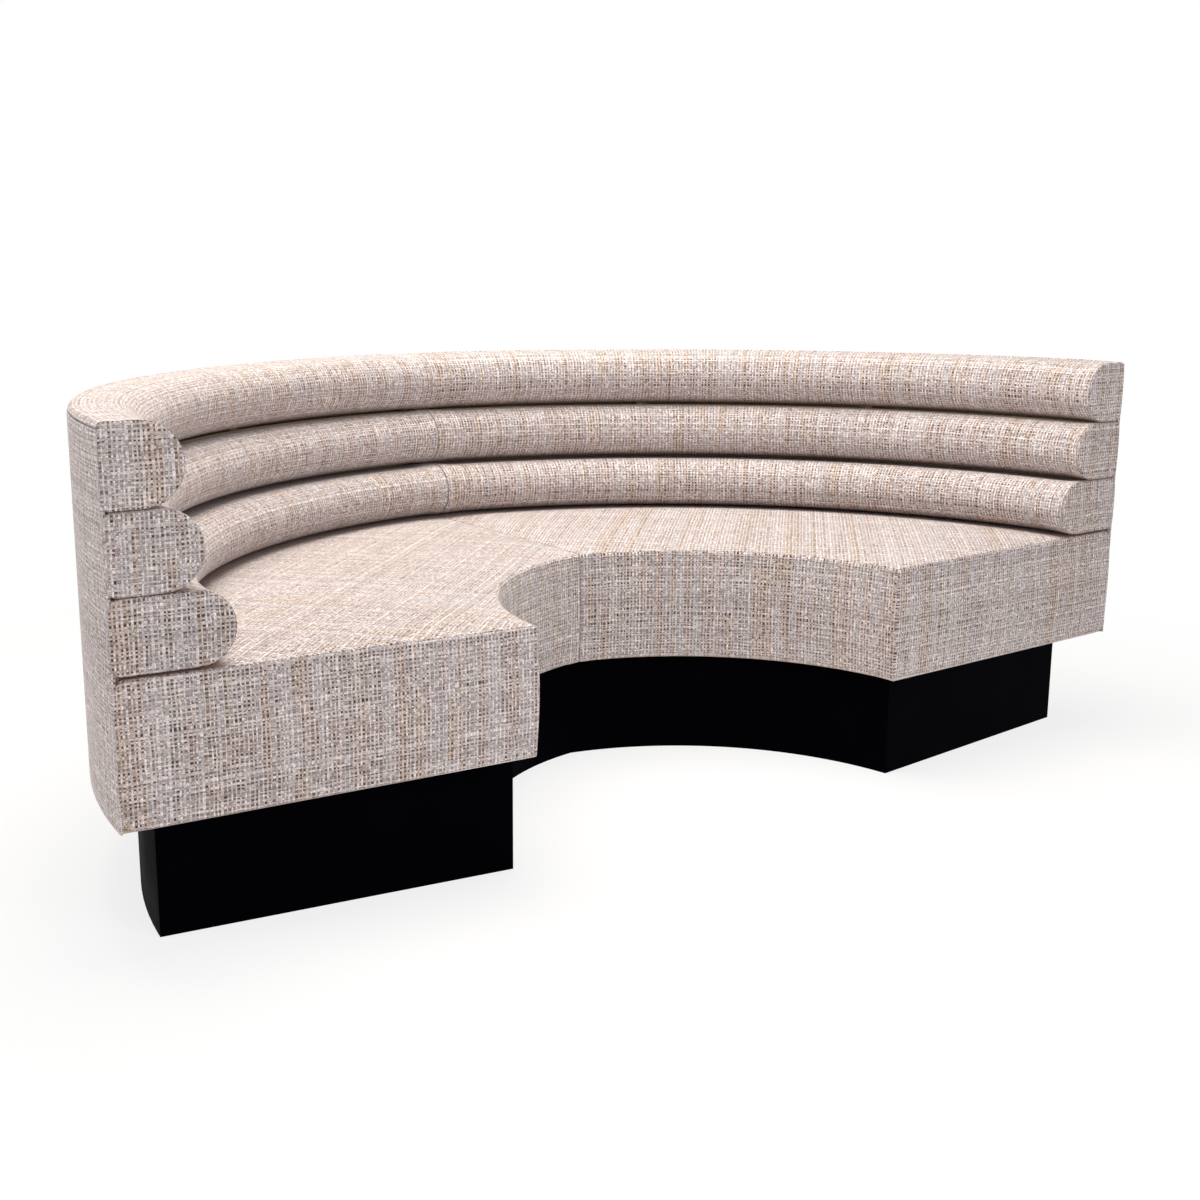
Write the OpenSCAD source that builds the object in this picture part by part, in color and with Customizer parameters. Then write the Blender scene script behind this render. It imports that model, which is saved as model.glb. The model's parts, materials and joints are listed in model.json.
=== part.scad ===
// Curved banquette bench for a cafe or bar. Two mirrored modules bolt together on a
// centre seam. Each has a recessed plinth, a deep upholstered seat and a back made of
// three stacked rolls. All sizes are in millimetres and Z is up.

/* [Plan] */
// Radius of the upholstered front edge of the seat
seat_inner_radius = 522; // [480:1:600]
// Depth of the bench from the seat's front edge to the outer back
seat_depth = 728; // [690:1:820]
// How far each module's arc centre lies beyond the centre seam
centre_offset = 90; // [40:1:120]
// Angle of the free end faces, measured from the seam plane
end_angle = 87; // [78:1:89]
// Distance of the free end faces behind the plan's own centre line
end_setback = 6; // [0:1:20]
// Gap between the two modules on the seam
module_gap = 1; // [0.6:0.1:2]

/* [Heights] */
// Height of the plinth
plinth_height = 210; // [150:1:230]
// Height of the upholstered seat block
seat_block_height = 240; // [225:1:280]
// Height of the lower back roll
lower_roll_height = 118; // [100:1:140]
// Height of the middle back roll
middle_roll_height = 126; // [100:1:140]
// Height of the top back roll
top_roll_height = 130; // [100:1:140]

/* [Back rolls] */
// Depth of the lower roll from the outer back to its nose
lower_roll_depth = 195; // [165:1:220]
// Depth of the middle roll
middle_roll_depth = 151; // [135:1:180]
// Depth of the top roll
top_roll_depth = 127; // [122:1:160]
// Crease left between one roll and the next
roll_crease = 0.6; // [0.4:0.1:2]
// Rounding of the top roll where it meets the outer back
back_edge_radius = 10; // [9:0.5:14]

/* [Upholstery] */
// Thickness of the woven cover with its lining
cover_thickness = 2.5; // [1.5:0.1:3]
// Thickness of the outer back cover with its bonded wadding
back_cover_thickness = 6; // [4:0.5:8]
// Rise of the seat top from its front edge to the back rolls
crown_height = 7; // [2:0.5:12]
// How far the seat's front and end faces belly out between their edges
side_bulge = 4; // [1:0.5:8]
// Rounding of the seat's top edges
seat_edge_radius = 6; // [5:0.5:16]
// Thickness of the foam that wraps the front and end of the seat frame
side_foam = 10; // [6:0.5:15]
// Thickness of the seat foam under its front edge
seat_foam_depth = 80; // [60:1:90]

/* [Plinth] */
// Inset of the plinth's front panel from the seat's front edge
plinth_front_inset = 35; // [20:1:60]
// Inset of the plinth's back panel from the outer back
plinth_back_inset = 72; // [40:1:90]
// How far the plinth's end is turned in from the seat's end
plinth_end_turn = 4; // [1:0.5:6]
// Distance of the plinth's end face behind the plan's centre line
plinth_end_setback = 12; // [6:1:30]
// Thickness of the plinth boards
plinth_board = 18; // [15:0.5:22]
// Side of the square corner posts inside the plinth
corner_post = 60; // [50:1:70]

/* [Frame] */
// Thickness of the seat's base board
base_board = 18; // [15:0.5:22]
// Thickness of the bent front rail
rail_board = 12; // [9:0.5:15]
// Thickness of the seat ribs
rib_board = 18; // [15:0.5:22]
// Thickness of the deck under the seat foam
deck_board = 12; // [9:0.5:15]
// Radius of the vent holes in the deck
vent_radius = 25; // [15:1:35]
// Thickness of the bent back shell
shell_board = 10; // [8:0.5:12]
// Depth of the back posts
post_depth = 30; // [25:1:40]
// Width of the back posts
post_width = 24; // [20:1:40]
// Thickness of the bent backer behind each roll
backer_board = 9; // [6:0.5:12]
// Thickness of the top rail
top_rail_board = 18; // [15:0.5:22]
// Thickness of the dust cover under the seat
dust_cover_thickness = 1; // [0.6:0.1:1.5]

/* [Levelling feet] */
// Radius of the foot's pad
foot_radius = 20; // [15:1:24]
// Height of the foot's pad
foot_height = 8; // [6:0.5:12]
// Radius of the threaded stem
stem_radius = 5; // [4:0.5:6]
// Length of the stem above the hexagon
stem_length = 45; // [40:1:60]
// Height of the pad above the floor when it is wound in
foot_clear = 1; // [0.6:0.1:2]

/* [Fasteners] */
// Radius of the bolts that join the modules
joining_bolt_radius = 4; // [3:0.5:5]
// Radius of the bolts that hold the rolls
roll_bolt_radius = 3; // [2.5:0.5:4]
// Radius of the screws that hold the seat on the plinth
base_screw_radius = 2.5; // [2:0.5:3]
// Length of those screws
base_screw_length = 60; // [40:1:70]

/* [Hidden] */
big_fn = 180;
small_fn = 32;
// One overrun for every cut
over = 3;
// Glue line or running gap between neighbouring faces
fit_gap = 0.2;
// Radial play of a bolt in its hole
bolt_play = 0.2;
// Radial play of the threaded stem in its nut
thread_play = 0.05;
// Room round the stem in its post and over its hexagon
foot_play = 1;
side_steps = 8;
round_steps = 6;
crown_steps = 8;
fabric_colour = [0.80, 0.74, 0.68];
plinth_colour = [0.05, 0.05, 0.055];
ply_colour = [0.80, 0.66, 0.46];
hardwood_colour = [0.72, 0.56, 0.38];
foam_colour = [0.93, 0.88, 0.66];
steel_colour = [0.66, 0.67, 0.69];
dust_colour = [0.10, 0.10, 0.10];
// Direction in which a turned form's own seam lies, away from both modules
turn_start = 225;

// Shares of a part's own radius, height or width
foot_bottom_share = 0.9;
foot_neck_share = 0.55;
foot_edge_shares = [0.25, 0.5];
hexagon_share = 1.7;
nut_flange_share = 2.4;
nut_length_share = 2.4;
joining_head_share = 1.4;
joining_head_radius_share = 1.9;
roll_head_share = 1.3;
head_radius_share = 2;
roll_bolt_bite_share = 0.8;
top_rail_drop_share = 0.2;
last_post_share = 0.75;
screw_inset_share = 0.25;
joining_shares = [0.3, 0.72];
vent_shares = [0.3, 0.68];
plinth_rib_shares = [0.34, 0.67];

seam = module_gap / 2;
outer_radius = seat_inner_radius + seat_depth;
reach = 2 * outer_radius;
seat_top = plinth_height + seat_block_height;
lower_roll_base = seat_top;
middle_roll_base = lower_roll_base + lower_roll_height;
top_roll_base = middle_roll_base + middle_roll_height;
back_top = top_roll_base + top_roll_height;

// Layers of the back, from the outside in
back_cover_in = outer_radius - back_cover_thickness;
shell_out = back_cover_in - fit_gap;
shell_in = shell_out - shell_board;
post_out = shell_in - fit_gap;
post_in = post_out - post_depth;
backer_out = post_in - fit_gap;
backer_in = backer_out - backer_board;
roll_foam_back = backer_in - fit_gap;

// Layers of the seat
skin_gap = cover_thickness + fit_gap;
carcass_inset = side_bulge + cover_thickness + side_foam;
rail_in = seat_inner_radius + carcass_inset;
rail_out = rail_in + rail_board;
base_top = plinth_height + base_board;
deck_top = seat_top - crown_height - cover_thickness - seat_foam_depth;
deck_bottom = deck_top - deck_board;
crown_apex = outer_radius - lower_roll_depth;
roll_end_board = carcass_inset - skin_gap - fit_gap;
base_board_inset = side_bulge + cover_thickness + skin_gap;

// Ribs under the seat
rib_in = rail_out + fit_gap;
rib_out = post_in - fit_gap;
rib_mid = (base_top + deck_bottom) / 2;
function rib_place(s) = rib_in + s * (rib_out - rib_in);

// Top rail of the back, kept under the rounding of the top roll
top_rail_top = back_top - skin_gap - top_rail_drop_share * back_edge_radius;
top_rail_bottom = top_rail_top - top_rail_board;

// Plinth
plinth_end_angle = end_angle - plinth_end_turn;
plinth_in = seat_inner_radius + plinth_front_inset;
plinth_out = outer_radius - plinth_back_inset;
plinth_cavity_in = plinth_in + plinth_board + fit_gap;
plinth_cavity_out = plinth_out - plinth_board - fit_gap;
plinth_mid = plinth_height / 2;
rib_lift = plinth_board / 2;
function plinth_place(s) = plinth_cavity_in + s * (plinth_cavity_out - plinth_cavity_in);

// Levelling feet and their nuts
hexagon_height = 6;
hexagon_radius = hexagon_share * stem_radius;
nut_flange_radius = nut_flange_share * stem_radius;
nut_flange = 1.5;
nut_barrel_wall = 1.9;
nut_barrel_length = nut_length_share * stem_radius;
nut_bore = stem_radius + thread_play;
nut_barrel_radius = stem_radius + nut_barrel_wall;
nut_bottom = foot_clear + foot_height + hexagon_height + foot_play;
corner_post_bottom = nut_bottom + nut_flange;
stem_bore_radius = stem_radius + foot_play;
stem_bore_depth = stem_length + over;

// Bolts
joining_head = joining_head_share * joining_bolt_radius;
joining_head_radius = joining_head_radius_share * joining_bolt_radius;
roll_head_radius = head_radius_share * roll_bolt_radius;
roll_head = roll_head_share * roll_bolt_radius;
screw_head_radius = head_radius_share * base_screw_radius;

// Distance along an end face, from the plan's centre to an arc of radius r
function end_reach(r, angle, setback) =
    sqrt(r * r - pow(centre_offset * cos(angle) - setback, 2)) - centre_offset * sin(angle);
// Distance along the seam to an arc of radius r, at distance c from the seam plane
function seam_reach(r, c) = sqrt(r * r - pow(c + centre_offset, 2));

// The plan is centred on its own box
plan_front = end_reach(seat_inner_radius, end_angle, end_setback) * cos(end_angle)
    + end_setback * sin(end_angle);
plan_back = seam_reach(outer_radius, seam);
plan_centre = (plan_front + plan_back) / 2;

// Angles of the back posts about the arc's centre, from the seam to the free end
first_post = asin((centre_offset + seam + rib_board / 2 + post_width / 2) / post_in);
last_post = end_angle
    - asin((end_setback + carcass_inset - centre_offset * cos(end_angle) + last_post_share * post_width)
        / post_in);
post_count = 4;
function post_angle(i) = first_post + (last_post - first_post) * i / (post_count - 1);

// Places of the levelling feet: [along, across] in the end frame and on the seam
foot_half = corner_post / 2;
end_post_across = plinth_board + fit_gap + foot_half;
end_post_near = end_reach(plinth_cavity_in, plinth_end_angle, plinth_end_setback + plinth_board)
    + foot_half;
end_post_far = end_reach(plinth_cavity_out, plinth_end_angle,
    plinth_end_setback + plinth_board + fit_gap + corner_post) - foot_half;
seam_post_across = seam + plinth_board + fit_gap + foot_half;
seam_post_near = seam_reach(plinth_cavity_in, seam + plinth_board) + foot_half;
seam_post_far = seam_reach(plinth_cavity_out, seam + plinth_board + fit_gap + corner_post) - foot_half;
function roll_base(i) = [lower_roll_base, middle_roll_base, top_roll_base][i] + roll_crease;
function roll_height(i) = [lower_roll_height, middle_roll_height, top_roll_height][i] - roll_crease;
function roll_depth(i) = [lower_roll_depth, middle_roll_depth, top_roll_depth][i];
LOWER = 0;
MIDDLE = 1;
TOP = 2;

// Plan helpers, all drawn for the right-hand module

// Frame of an end face: X runs outwards along the face, Y into the module
module end_frame(angle, setback) rotate([0, 0, 90 - angle]) translate([0, setback, 0]) children();

module ring(r_in, r_out) translate([-centre_offset, 0]) difference() {
    circle(r = r_out, $fn = big_fn);
    circle(r = r_in, $fn = big_fn);
}

// Plan of the module, cut at the seam and parallel to its free end
module sector(seam_inset, angle, setback) intersection() {
    translate([seam_inset, 0]) square([reach, reach]);
    rotate(90 - angle) translate([0, setback]) square([reach, reach]);
}

module seat_band(r_in, r_out, seam_inset, end_inset) intersection() {
    ring(r_in, r_out);
    sector(seam_inset, end_angle, end_setback + end_inset);
}

module plinth_band(r_in, r_out, seam_inset, end_inset) intersection() {
    ring(r_in, r_out);
    sector(seam_inset, plinth_end_angle, plinth_end_setback + end_inset);
}

// Board across the module: along its free end, along the seam, or radial
module end_strip(r_in, r_out, angle, setback, width) intersection() {
    ring(r_in, r_out);
    rotate(90 - angle) translate([0, setback]) square([reach, width]);
}

module seam_strip(r_in, r_out, seam_inset, width) intersection() {
    ring(r_in, r_out);
    translate([seam_inset, 0]) square([width, reach]);
}

module radial_strip(r_in, r_out, angle, width) intersection() {
    ring(r_in, r_out);
    translate([-centre_offset, 0]) rotate(-angle) translate([-width / 2, 0]) square([width, reach]);
}

module slab(z_low, z_high) translate([0, 0, z_low]) linear_extrude(height = z_high - z_low) children();

// A profile turned about the arc's centre, in radius and height
module turned() translate([-centre_offset, 0, 0]) rotate([0, 0, turn_start])
    rotate_extrude($fn = big_fn) children();

module sector_block(seam_inset, end_inset)
    slab(-over, back_top + over) sector(seam_inset, end_angle, end_setback + end_inset);

// Frame of a radial line through the back, X inwards from radius r
module radial_frame(angle, r, z) translate([-centre_offset, 0, 0])
    rotate([0, 0, 90 - angle]) translate([r, 0, z]) rotate([0, -90, 0]) children();

// Seat block

// Belly of a side face: nothing at mid height, the full bulge at the two edges
function belly(t) = side_bulge * (1 - sin(180 * t));

// Points of a side face from the bottom to the end of its rounded top edge,
// as [distance in from the face, height], for a form shrunk by inset. Its lowest strip
// runs on below the bottom edge by that many steps, so that a cut there is clean
function side_points(inset, below, top) = let (
    step = (top - seat_edge_radius - plinth_height) / side_steps,
    lean = belly(0) - belly(1 / side_steps)) concat(
    [[inset + belly(0) + below * lean, plinth_height - below * step]],
    [for (i = [1 : side_steps]) [inset + belly(i / side_steps), plinth_height + i * step]],
    [for (i = [1 : round_steps]) let (a = 90 * i / round_steps)
        [side_bulge + seat_edge_radius - (seat_edge_radius - inset) * cos(a),
            top - seat_edge_radius + (seat_edge_radius - inset) * sin(a)]]);

function crown_points(inset, start) = [for (i = [1 : crown_steps]) let (t = i / crown_steps)
    [start + t * (crown_apex - start), seat_top - inset - crown_height * pow(1 - t, 2)]];

module seat_profile(inset, below, r_back) {
    front = side_points(inset, below, seat_top - crown_height);
    start = seat_inner_radius + side_bulge + seat_edge_radius;
    polygon(concat(
        [for (p = front) [seat_inner_radius + p[0], p[1]]],
        crown_points(inset, start),
        [[r_back, seat_top - inset], [r_back, front[0][1]]]));
}

// The end's rounding rises a fit gap above the crown, so that the two cross cleanly
module seat_form(inset, below, seam_inset, r_back) intersection() {
    turned() seat_profile(inset, below, r_back);
    end_frame(end_angle, end_setback) rotate([90, 0, 90]) linear_extrude(height = reach)
        polygon(concat(side_points(inset, below + 1, seat_top + fit_gap),
            [[side_bulge + seat_edge_radius, seat_top + over], [reach, seat_top + over], [reach, 0]]));
    translate([seam_inset, 0, 0]) cube([reach, reach, back_top]);
}

// Space behind the seat that belongs to the posts and the back shell
module back_space(r_in, end_inset, z_low, z_high)
    slab(z_low, z_high) seat_band(r_in, outer_radius + over, -over, end_inset);

module seat_cover() color(fabric_colour) difference() {
    seat_form(0, 0, seam, outer_radius);
    seat_form(cover_thickness, 1, -over, outer_radius + over);
    back_space(post_in - fit_gap, carcass_inset, 0, back_top);
    back_space(back_cover_in - fit_gap, skin_gap, 0, back_top);
}

module seat_foam() color(foam_colour) difference() {
    seat_form(skin_gap, 0, seam, shell_out);
    slab(0, deck_top) ring(0, reach);
    back_space(post_in - fit_gap, carcass_inset, 0, back_top);
}

module seat_side_foam() color(foam_colour) difference() {
    intersection() {
        seat_form(skin_gap, 0, seam, shell_out);
        slab(base_top, deck_top - fit_gap) ring(0, reach);
    }
    slab(0, seat_top) seat_band(rail_in - fit_gap, reach, -over, carcass_inset - fit_gap);
}

module seat_deck() color(ply_colour) slab(deck_bottom, deck_top) difference() {
    seat_band(rail_in, post_in - fit_gap, seam, carcass_inset);
    for (i = [0 : post_count - 2], s = vent_shares)
        translate([-centre_offset, 0]) rotate(-(post_angle(i) + post_angle(i + 1)) / 2)
            translate([0, rail_out + s * (post_in - rail_out)]) circle(r = vent_radius, $fn = small_fn);
}

module seat_front_rail() color(ply_colour)
    slab(base_top, deck_bottom) seat_band(rail_in, rail_out, seam, carcass_inset);

module seat_ribs() color(ply_colour) difference() {
    slab(base_top, deck_bottom) {
        seam_strip(rib_in, rib_out, seam, rib_board);
        end_strip(rib_in, rib_out, end_angle, end_setback + carcass_inset, rib_board);
        for (i = [1 : post_count - 2]) radial_strip(rib_in, rib_out, post_angle(i), rib_board);
    }
    for (s = joining_shares) joining_hole(rib_place(s), rib_mid, rib_board);
}

module seat_base_board() color(ply_colour) difference() {
    slab(plinth_height, base_top)
        seat_band(seat_inner_radius + base_board_inset, shell_out, seam, base_board_inset);
    at_base_screws() base_screw(bolt_play);
}

module dust_cover() color(dust_colour) slab(plinth_height - dust_cover_thickness, plinth_height - fit_gap) {
    difference() {
        seat_band(seat_inner_radius + carcass_inset, shell_in, seam, carcass_inset);
        plinth_band(plinth_in - fit_gap, plinth_out + fit_gap, -over, -fit_gap);
    }
}

// Plinth

module plinth_front_panel() color(plinth_colour)
    slab(0, plinth_height) plinth_band(plinth_in, plinth_in + plinth_board, seam, plinth_board);

module plinth_back_panel() color(plinth_colour)
    slab(0, plinth_height) plinth_band(plinth_out - plinth_board, plinth_out, seam, plinth_board);

module plinth_end_panel() color(plinth_colour) slab(0, plinth_height)
    end_strip(plinth_in, plinth_out, plinth_end_angle, plinth_end_setback, plinth_board);

module plinth_cross_boards() color(ply_colour) difference() {
    slab(rib_lift, plinth_height) {
        seam_strip(plinth_cavity_in, plinth_cavity_out, seam, plinth_board);
        for (s = plinth_rib_shares)
            radial_strip(plinth_cavity_in, plinth_cavity_out, s * plinth_end_angle, plinth_board);
    }
    for (s = joining_shares) joining_hole(plinth_place(s), plinth_mid, plinth_board);
}

// Places of the corner posts, which are also those of the feet
module at_end_post(along) end_frame(plinth_end_angle, plinth_end_setback)
    translate([along, end_post_across, 0]) children();

module at_seam_post(along) translate([seam_post_across, along, 0]) children();

module at_all_posts() {
    at_end_post(end_post_near) children();
    at_end_post(end_post_far) children();
    at_seam_post(seam_post_near) children();
    at_seam_post(seam_post_far) children();
}

module plinth_corner_posts() color(hardwood_colour) difference() {
    at_all_posts() difference() {
        translate([-foot_half, -foot_half, corner_post_bottom])
            cube([corner_post, corner_post, plinth_height - corner_post_bottom]);
        translate([0, 0, corner_post_bottom - over])
            cylinder(r = nut_barrel_radius + fit_gap, h = over + nut_barrel_length + fit_gap, $fn = small_fn);
        translate([0, 0, corner_post_bottom - over])
            cylinder(r = stem_bore_radius, h = over + stem_bore_depth, $fn = small_fn);
    }
    at_base_screws() base_screw(bolt_play);
}

module tee_nut() difference() {
    translate([0, 0, nut_bottom]) union() {
        cylinder(r = nut_flange_radius, h = nut_flange, $fn = small_fn);
        cylinder(r = nut_barrel_radius, h = nut_flange + nut_barrel_length, $fn = small_fn);
    }
    translate([0, 0, nut_bottom - over])
        cylinder(r = nut_bore, h = 2 * over + nut_flange + nut_barrel_length, $fn = small_fn);
}

module levelling_foot() color(steel_colour) translate([0, 0, foot_clear]) {
    rotate_extrude($fn = 2 * small_fn) polygon([
        [0, 0], [foot_bottom_share * foot_radius, 0], [foot_radius, foot_edge_shares[0] * foot_height],
        [foot_radius, foot_edge_shares[1] * foot_height], [foot_neck_share * foot_radius, foot_height],
        [0, foot_height]]);
    cylinder(r = hexagon_radius, h = foot_height + hexagon_height, $fn = 6);
    cylinder(r = stem_radius, h = foot_height + hexagon_height + stem_length, $fn = small_fn);
}

module tee_nuts() color(steel_colour) both_sides() at_all_posts() tee_nut();

// Screws down through the base board into the corner posts
module base_screw(play) translate([0, 0, base_top]) rotate([180, 0, 0]) {
    cylinder(r1 = screw_head_radius + play, r2 = base_screw_radius + play, $fn = small_fn,
        h = base_screw_radius);
    cylinder(r = base_screw_radius + play, h = base_screw_length + play, $fn = small_fn);
}

module at_base_screws() at_all_posts()
    for (s = [-screw_inset_share, screw_inset_share])
        translate([s * corner_post, -s * corner_post, 0]) children();

module base_screws() color(steel_colour) both_sides() at_base_screws() base_screw(0);

// Bolts across the seam
module joining_hole(r, z, board) translate([-over, seam_reach(r, 0), z]) rotate([0, 90, 0])
    cylinder(r = joining_bolt_radius + bolt_play, h = 2 * over + seam + board, $fn = small_fn);

module joining_bolt(board) {
    half = seam + board;
    rotate([0, 90, 0]) {
        translate([0, 0, -half - joining_head])
            cylinder(r = joining_head_radius, h = joining_head, $fn = 6);
        translate([0, 0, -half - joining_head])
            cylinder(r = joining_bolt_radius, h = 2 * (half + joining_head) + joining_head, $fn = small_fn);
        translate([0, 0, half]) cylinder(r = joining_head_radius, h = joining_head, $fn = 6);
    }
}

module joining_bolts() color(steel_colour) translate([0, -plan_centre, 0]) {
    for (s = joining_shares) {
        translate([0, seam_reach(rib_place(s), 0), rib_mid]) joining_bolt(rib_board);
        translate([0, seam_reach(plinth_place(s), 0), plinth_mid]) joining_bolt(plinth_board);
    }
}

// Back

module back_shell() color(ply_colour) difference() {
    slab(base_top, top_rail_bottom) seat_band(shell_in, shell_out, seam, carcass_inset);
    at_roll_bolts() translate([0, 0, -shell_board - over])
        cylinder(r = roll_head_radius + bolt_play, h = shell_board + over, $fn = small_fn);
}

module back_posts() color(hardwood_colour) difference() {
    slab(base_top, top_rail_bottom) for (i = [0 : post_count - 1])
        radial_strip(post_in, post_out, post_angle(i), post_width);
    at_roll_bolts() roll_bolt(bolt_play);
}

module back_top_rail() color(ply_colour)
    slab(top_rail_bottom, top_rail_top) seat_band(post_in, shell_out, seam + skin_gap, carcass_inset);

// The axis of each roll bolt, from the back of its post towards the roll
module at_roll_bolts() for (i = [0 : post_count - 1], k = [LOWER : TOP])
    radial_frame(post_angle(i), post_out, roll_base(k) + roll_height(k) / 2) children();

module roll_bolt(play) {
    translate([0, 0, -roll_head]) cylinder(r = roll_head_radius + play, h = roll_head, $fn = small_fn);
    cylinder(r = roll_bolt_radius + play, $fn = small_fn,
        h = post_depth + fit_gap + roll_bolt_bite_share * backer_board + play);
}

module roll_bolts() color(steel_colour) both_sides() at_roll_bolts() roll_bolt(0);

// Rolls

// Half-round nose and flat back, shrunk by inset and ended at r_back; the top roll's
// back edge is rounded
module roll_profile(k, inset, r_back) {
    height = roll_height(k);
    nose = outer_radius - roll_depth(k) + height / 2;
    edge = k == TOP ? back_edge_radius : 0;
    translate([0, roll_base(k)]) intersection() {
        union() {
            translate([nose, height / 2]) circle(r = height / 2 - inset, $fn = 2 * small_fn);
            translate([nose, inset]) square([outer_radius + over - nose, height - inset - max(edge, inset)]);
            if (edge > 0) {
                translate([nose, inset]) square([outer_radius - edge - nose, height - 2 * inset]);
                translate([outer_radius - edge, height - edge]) circle(r = edge - inset, $fn = small_fn);
            }
        }
        square([r_back, height]);
    }
}

module roll_form(k, inset, r_back, seam_inset, end_inset) intersection() {
    turned() roll_profile(k, inset, r_back);
    sector_block(seam_inset, end_inset);
}

module roll_cover(k) {
    top = roll_base(k) + roll_height(k);
    back_limit = k == TOP ? top - back_edge_radius : top + over;
    difference() {
        roll_form(k, 0, outer_radius, seam, 0);
        roll_form(k, cover_thickness, k == TOP ? outer_radius - cover_thickness : outer_radius + over,
            seam + cover_thickness, cover_thickness);
        back_space(backer_out + fit_gap / 2, carcass_inset, 0, back_limit);
        back_space(back_cover_in - fit_gap, skin_gap, 0, back_limit);
    }
}

module lower_roll_cover() color(fabric_colour) roll_cover(LOWER);
module middle_roll_cover() color(fabric_colour) roll_cover(MIDDLE);
module top_roll_cover() color(fabric_colour) roll_cover(TOP);

module roll_foams() color(foam_colour) for (k = [LOWER : TOP])
    roll_form(k, skin_gap, roll_foam_back, seam + skin_gap, carcass_inset);

module roll_backers() color(ply_colour) difference() {
    for (k = [LOWER : TOP])
        slab(roll_base(k) + skin_gap, roll_base(k) + roll_height(k) - skin_gap)
            seat_band(backer_in, backer_out, seam + skin_gap, carcass_inset);
    at_roll_bolts() roll_bolt(bolt_play);
}

module roll_end_boards() color(ply_colour) for (k = [LOWER : TOP]) difference() {
    roll_form(k, skin_gap, shell_out, seam, skin_gap);
    slab(0, back_top) sector(-over, end_angle, end_setback + skin_gap + roll_end_board);
}

module outer_back_cover() color(fabric_colour)
    slab(plinth_height, back_top - back_edge_radius - roll_crease)
        seat_band(back_cover_in, outer_radius, seam, skin_gap);

// The two modules on their shared seam
module right_side() translate([0, -plan_centre, 0]) children();
module left_side() mirror([1, 0, 0]) right_side() children();
module both_sides() {
    right_side() children();
    left_side() children();
}

left_side() plinth_front_panel();  // left_plinth_front_panel
right_side() plinth_front_panel();  // right_plinth_front_panel
left_side() plinth_back_panel();  // left_plinth_back_panel
right_side() plinth_back_panel();  // right_plinth_back_panel
left_side() plinth_end_panel();  // left_plinth_end_panel
right_side() plinth_end_panel();  // right_plinth_end_panel
left_side() plinth_cross_boards();  // left_plinth_cross_boards
right_side() plinth_cross_boards();  // right_plinth_cross_boards
left_side() plinth_corner_posts();  // left_plinth_corner_posts
right_side() plinth_corner_posts();  // right_plinth_corner_posts
left_side() at_end_post(end_post_near) levelling_foot();  // left_foot_inner_end
right_side() at_end_post(end_post_near) levelling_foot();  // right_foot_inner_end
left_side() at_end_post(end_post_far) levelling_foot();  // left_foot_outer_end
right_side() at_end_post(end_post_far) levelling_foot();  // right_foot_outer_end
left_side() at_seam_post(seam_post_near) levelling_foot();  // left_foot_inner_seam
right_side() at_seam_post(seam_post_near) levelling_foot();  // right_foot_inner_seam
left_side() at_seam_post(seam_post_far) levelling_foot();  // left_foot_outer_seam
right_side() at_seam_post(seam_post_far) levelling_foot();  // right_foot_outer_seam
left_side() seat_base_board();  // left_seat_base_board
right_side() seat_base_board();  // right_seat_base_board
left_side() seat_front_rail();  // left_seat_front_rail
right_side() seat_front_rail();  // right_seat_front_rail
left_side() seat_ribs();  // left_seat_ribs
right_side() seat_ribs();  // right_seat_ribs
left_side() seat_deck();  // left_seat_deck
right_side() seat_deck();  // right_seat_deck
left_side() seat_side_foam();  // left_seat_side_foam
right_side() seat_side_foam();  // right_seat_side_foam
left_side() seat_foam();  // left_seat_foam
right_side() seat_foam();  // right_seat_foam
left_side() seat_cover();  // left_seat_cover
right_side() seat_cover();  // right_seat_cover
left_side() dust_cover();  // left_dust_cover
right_side() dust_cover();  // right_dust_cover
left_side() back_shell();  // left_back_shell
right_side() back_shell();  // right_back_shell
left_side() back_posts();  // left_back_posts
right_side() back_posts();  // right_back_posts
left_side() back_top_rail();  // left_back_top_rail
right_side() back_top_rail();  // right_back_top_rail
left_side() roll_backers();  // left_roll_backers
right_side() roll_backers();  // right_roll_backers
left_side() roll_end_boards();  // left_roll_end_boards
right_side() roll_end_boards();  // right_roll_end_boards
left_side() roll_foams();  // left_roll_foams
right_side() roll_foams();  // right_roll_foams
left_side() lower_roll_cover();  // left_lower_roll_cover
right_side() lower_roll_cover();  // right_lower_roll_cover
left_side() middle_roll_cover();  // left_middle_roll_cover
right_side() middle_roll_cover();  // right_middle_roll_cover
left_side() top_roll_cover();  // left_top_roll_cover
right_side() top_roll_cover();  // right_top_roll_cover
left_side() outer_back_cover();  // left_outer_back_cover
right_side() outer_back_cover();  // right_outer_back_cover
tee_nuts();
base_screws();
joining_bolts();
roll_bolts();
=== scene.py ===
import json
import logging
import math
from dataclasses import dataclass, field, replace
from enum import Enum
from typing import Any, Callable, Optional, Sequence, Union

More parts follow.
